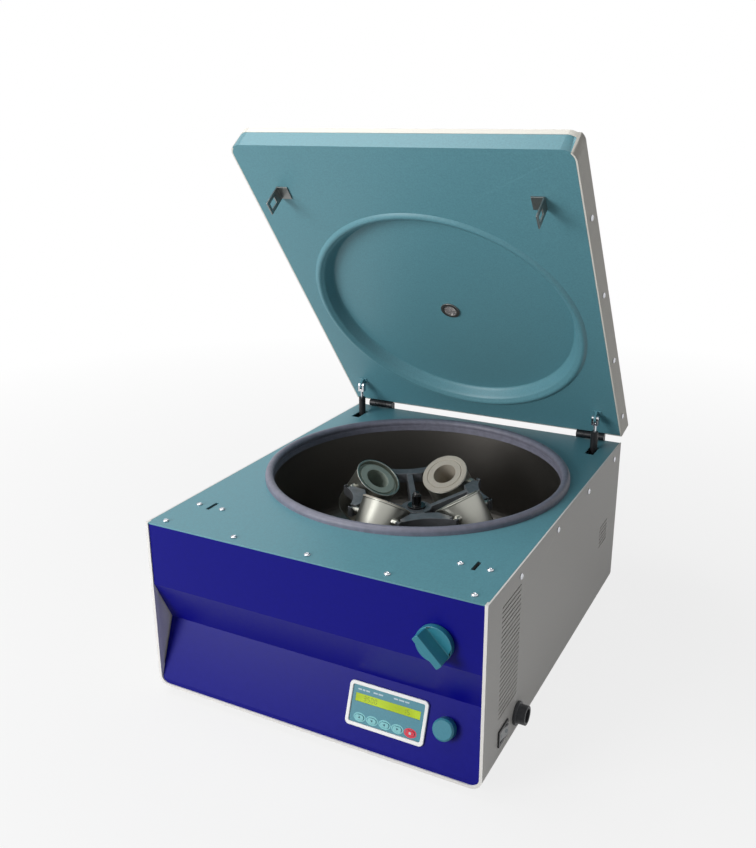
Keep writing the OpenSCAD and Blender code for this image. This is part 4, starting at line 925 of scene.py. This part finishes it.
    def execute(self, context):
        colours = context.scene.centrifuge_colours
        white = ink("White ink", linear("#B4C8CE"))
        dark = ink("Dark teal ink", linear("#1F5560"))
        figure = ink("Liquid-crystal segments", linear("#5E7400"))
        slot = slot_of("keypad_bezel")
        film = NODES["keypad_face"]
        facing = max(film.data.polygons, key=lambda face: face.area).normal.copy()
        facing = facing if facing.y < 0 else -facing
        self.print_captions(film, facing, white, slot)
        self.print_figures(facing, figure, slot)
        self.print_ovals(film, facing, colours, slot)
        self.print_key_marks(facing, dark, white, slot)
        self.print_switch_signs(dark, slot)
        return {"FINISHED"}


class CENTRIFUGE_OT_screws(bpy.types.Operator):
    """Pan-head screws of the deck, the shell and the lid, with their cross recesses"""
    bl_idname = "centrifuge.screws"
    bl_label = "Screws"

    # In mm, how deep the recess goes into the head
    depth = 1.0

    def loose_pieces(self, bm):
        """The bmesh's loose pieces, each as a list of vertices."""
        done, pieces = set(), []
        for first in bm.verts:
            if first in done:
                continue
            done.add(first)
            piece, waiting = [], [first]
            while waiting:
                vertex = waiting.pop()
                piece.append(vertex)
                for edge in vertex.link_edges:
                    other = edge.other_vert(vertex)
                    if other not in done:
                        done.add(other)
                        waiting.append(other)
            pieces.append(piece)
        return pieces

    def cross(self, cutter, top, out, arm):
        """Adds the prism that cuts one cross recess, from below the head's top to above it."""
        bm = bmesh.new()
        bmesh.ops.create_grid(bm, x_segments=3, y_segments=3, size=1.5 * arm * MM)
        corners = [f for f in bm.faces if abs(f.calc_center_median().x) > arm * MM / 2
                   and abs(f.calc_center_median().y) > arm * MM / 2]
        bmesh.ops.delete(bm, geom=corners, context="FACES")
        raised(bm, -self.depth, self.depth)
        up = Vector((0, 1, 0)) if abs(out.z) > 0.5 else UP
        bmesh.ops.transform(bm, matrix=lying(top, out, up), verts=bm.verts)
        bmesh.ops.recalc_face_normals(bm, faces=bm.faces)
        single = new_mesh("cross", bm)
        cutter.from_mesh(single)
        bpy.data.meshes.remove(single)

    def recessed(self, node, material, arm):
        """Stands a copy of the screws, a cross cut in each head, in the node's place."""
        bm = copied(node)
        cutter = bmesh.new()
        for screw in self.loose_pieces(bm):
            low = Vector([min(v.co[k] for v in screw) for k in range(3)])
            high = Vector([max(v.co[k] for v in screw) for k in range(3)])
            size, middle = high - low, (low + high) / 2
            axis = min(range(3), key=lambda k: size[k])
            out = Vector((0, 0, 0))
            out[axis] = 1 if middle[axis] > 0 else -1
            self.cross(cutter, middle + out * size[axis] / 2, out, arm)
        name = node + "_finished"
        piece = new_object(name, new_mesh(name, bm))
        tool = new_object("crosses", new_mesh("crosses", cutter))
        cut = piece.modifiers.new("Cross recess", "BOOLEAN")
        cut.operation = "DIFFERENCE"
        cut.solver = "EXACT"
        cut.object = tool
        graph = bpy.context.evaluated_depsgraph_get()
        finished = bpy.data.meshes.new_from_object(piece.evaluated_get(graph))
        piece.modifiers.clear()
        piece.data = finished
        bpy.data.objects.remove(tool)
        finished.materials.clear()
        finished.materials.append(material)
        smooth(finished)
        stand_in(piece, node)

    def execute(self, context):
        chrome = chromium("Screw chromium", linear("#C9CBD0"), roughness=0.2)
        arm = context.scene.centrifuge_sizes.recess
        for node in ("cabinet_screws", "lid_screws"):
            self.recessed(node, chrome, arm)
        return {"FINISHED"}


# ---------- panel, registration and run ----------

class CENTRIFUGE_PT_panel(bpy.types.Panel):
    """Lists the centrifuge's steps and their settings"""
    bl_idname = "CENTRIFUGE_PT_panel"
    bl_label = "Centrifuge"
    bl_space_type = "VIEW_3D"
    bl_region_type = "UI"
    bl_category = "Centrifuge"

    def draw(self, context):
        for operator in OPERATORS:
            self.layout.operator(operator.bl_idname)
        for name in ("centrifuge_colours", "centrifuge_sizes", "centrifuge_stage"):
            group = getattr(context.scene, name)
            for key in group.bl_rna.properties.keys():
                if key not in ("rna_type", "name"):
                    self.layout.prop(group, key)


OPERATORS = (CENTRIFUGE_OT_stage, CENTRIFUGE_OT_sheet_metal, CENTRIFUGE_OT_inner_works,
             CENTRIFUGE_OT_hinges_and_struts, CENTRIFUGE_OT_rotor, CENTRIFUGE_OT_controls,
             CENTRIFUGE_OT_prints, CENTRIFUGE_OT_screws)
GROUPS = (("centrifuge_colours", CentrifugeColours), ("centrifuge_sizes", CentrifugeSizes),
          ("centrifuge_stage", CentrifugeStage))


def register():
    for name, group in GROUPS:
        bpy.utils.register_class(group)
        setattr(bpy.types.Scene, name, bpy.props.PointerProperty(type=group))
    for cls in OPERATORS + (CENTRIFUGE_PT_panel,):
        bpy.utils.register_class(cls)


def unregister():
    for cls in reversed(OPERATORS + (CENTRIFUGE_PT_panel,)):
        bpy.utils.unregister_class(cls)
    for name, group in reversed(GROUPS):
        delattr(bpy.types.Scene, name)
        bpy.utils.unregister_class(group)


def main():
    """Registers the classes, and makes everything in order."""
    register()
    bpy.ops.centrifuge.stage()
    bpy.ops.centrifuge.sheet_metal()
    bpy.ops.centrifuge.inner_works()
    bpy.ops.centrifuge.hinges_and_struts()
    bpy.ops.centrifuge.rotor()
    bpy.ops.centrifuge.controls()
    bpy.ops.centrifuge.prints()
    bpy.ops.centrifuge.screws()
    bpy.context.view_layer.update()
    write_points()


if __name__ == "__main__":
    main()
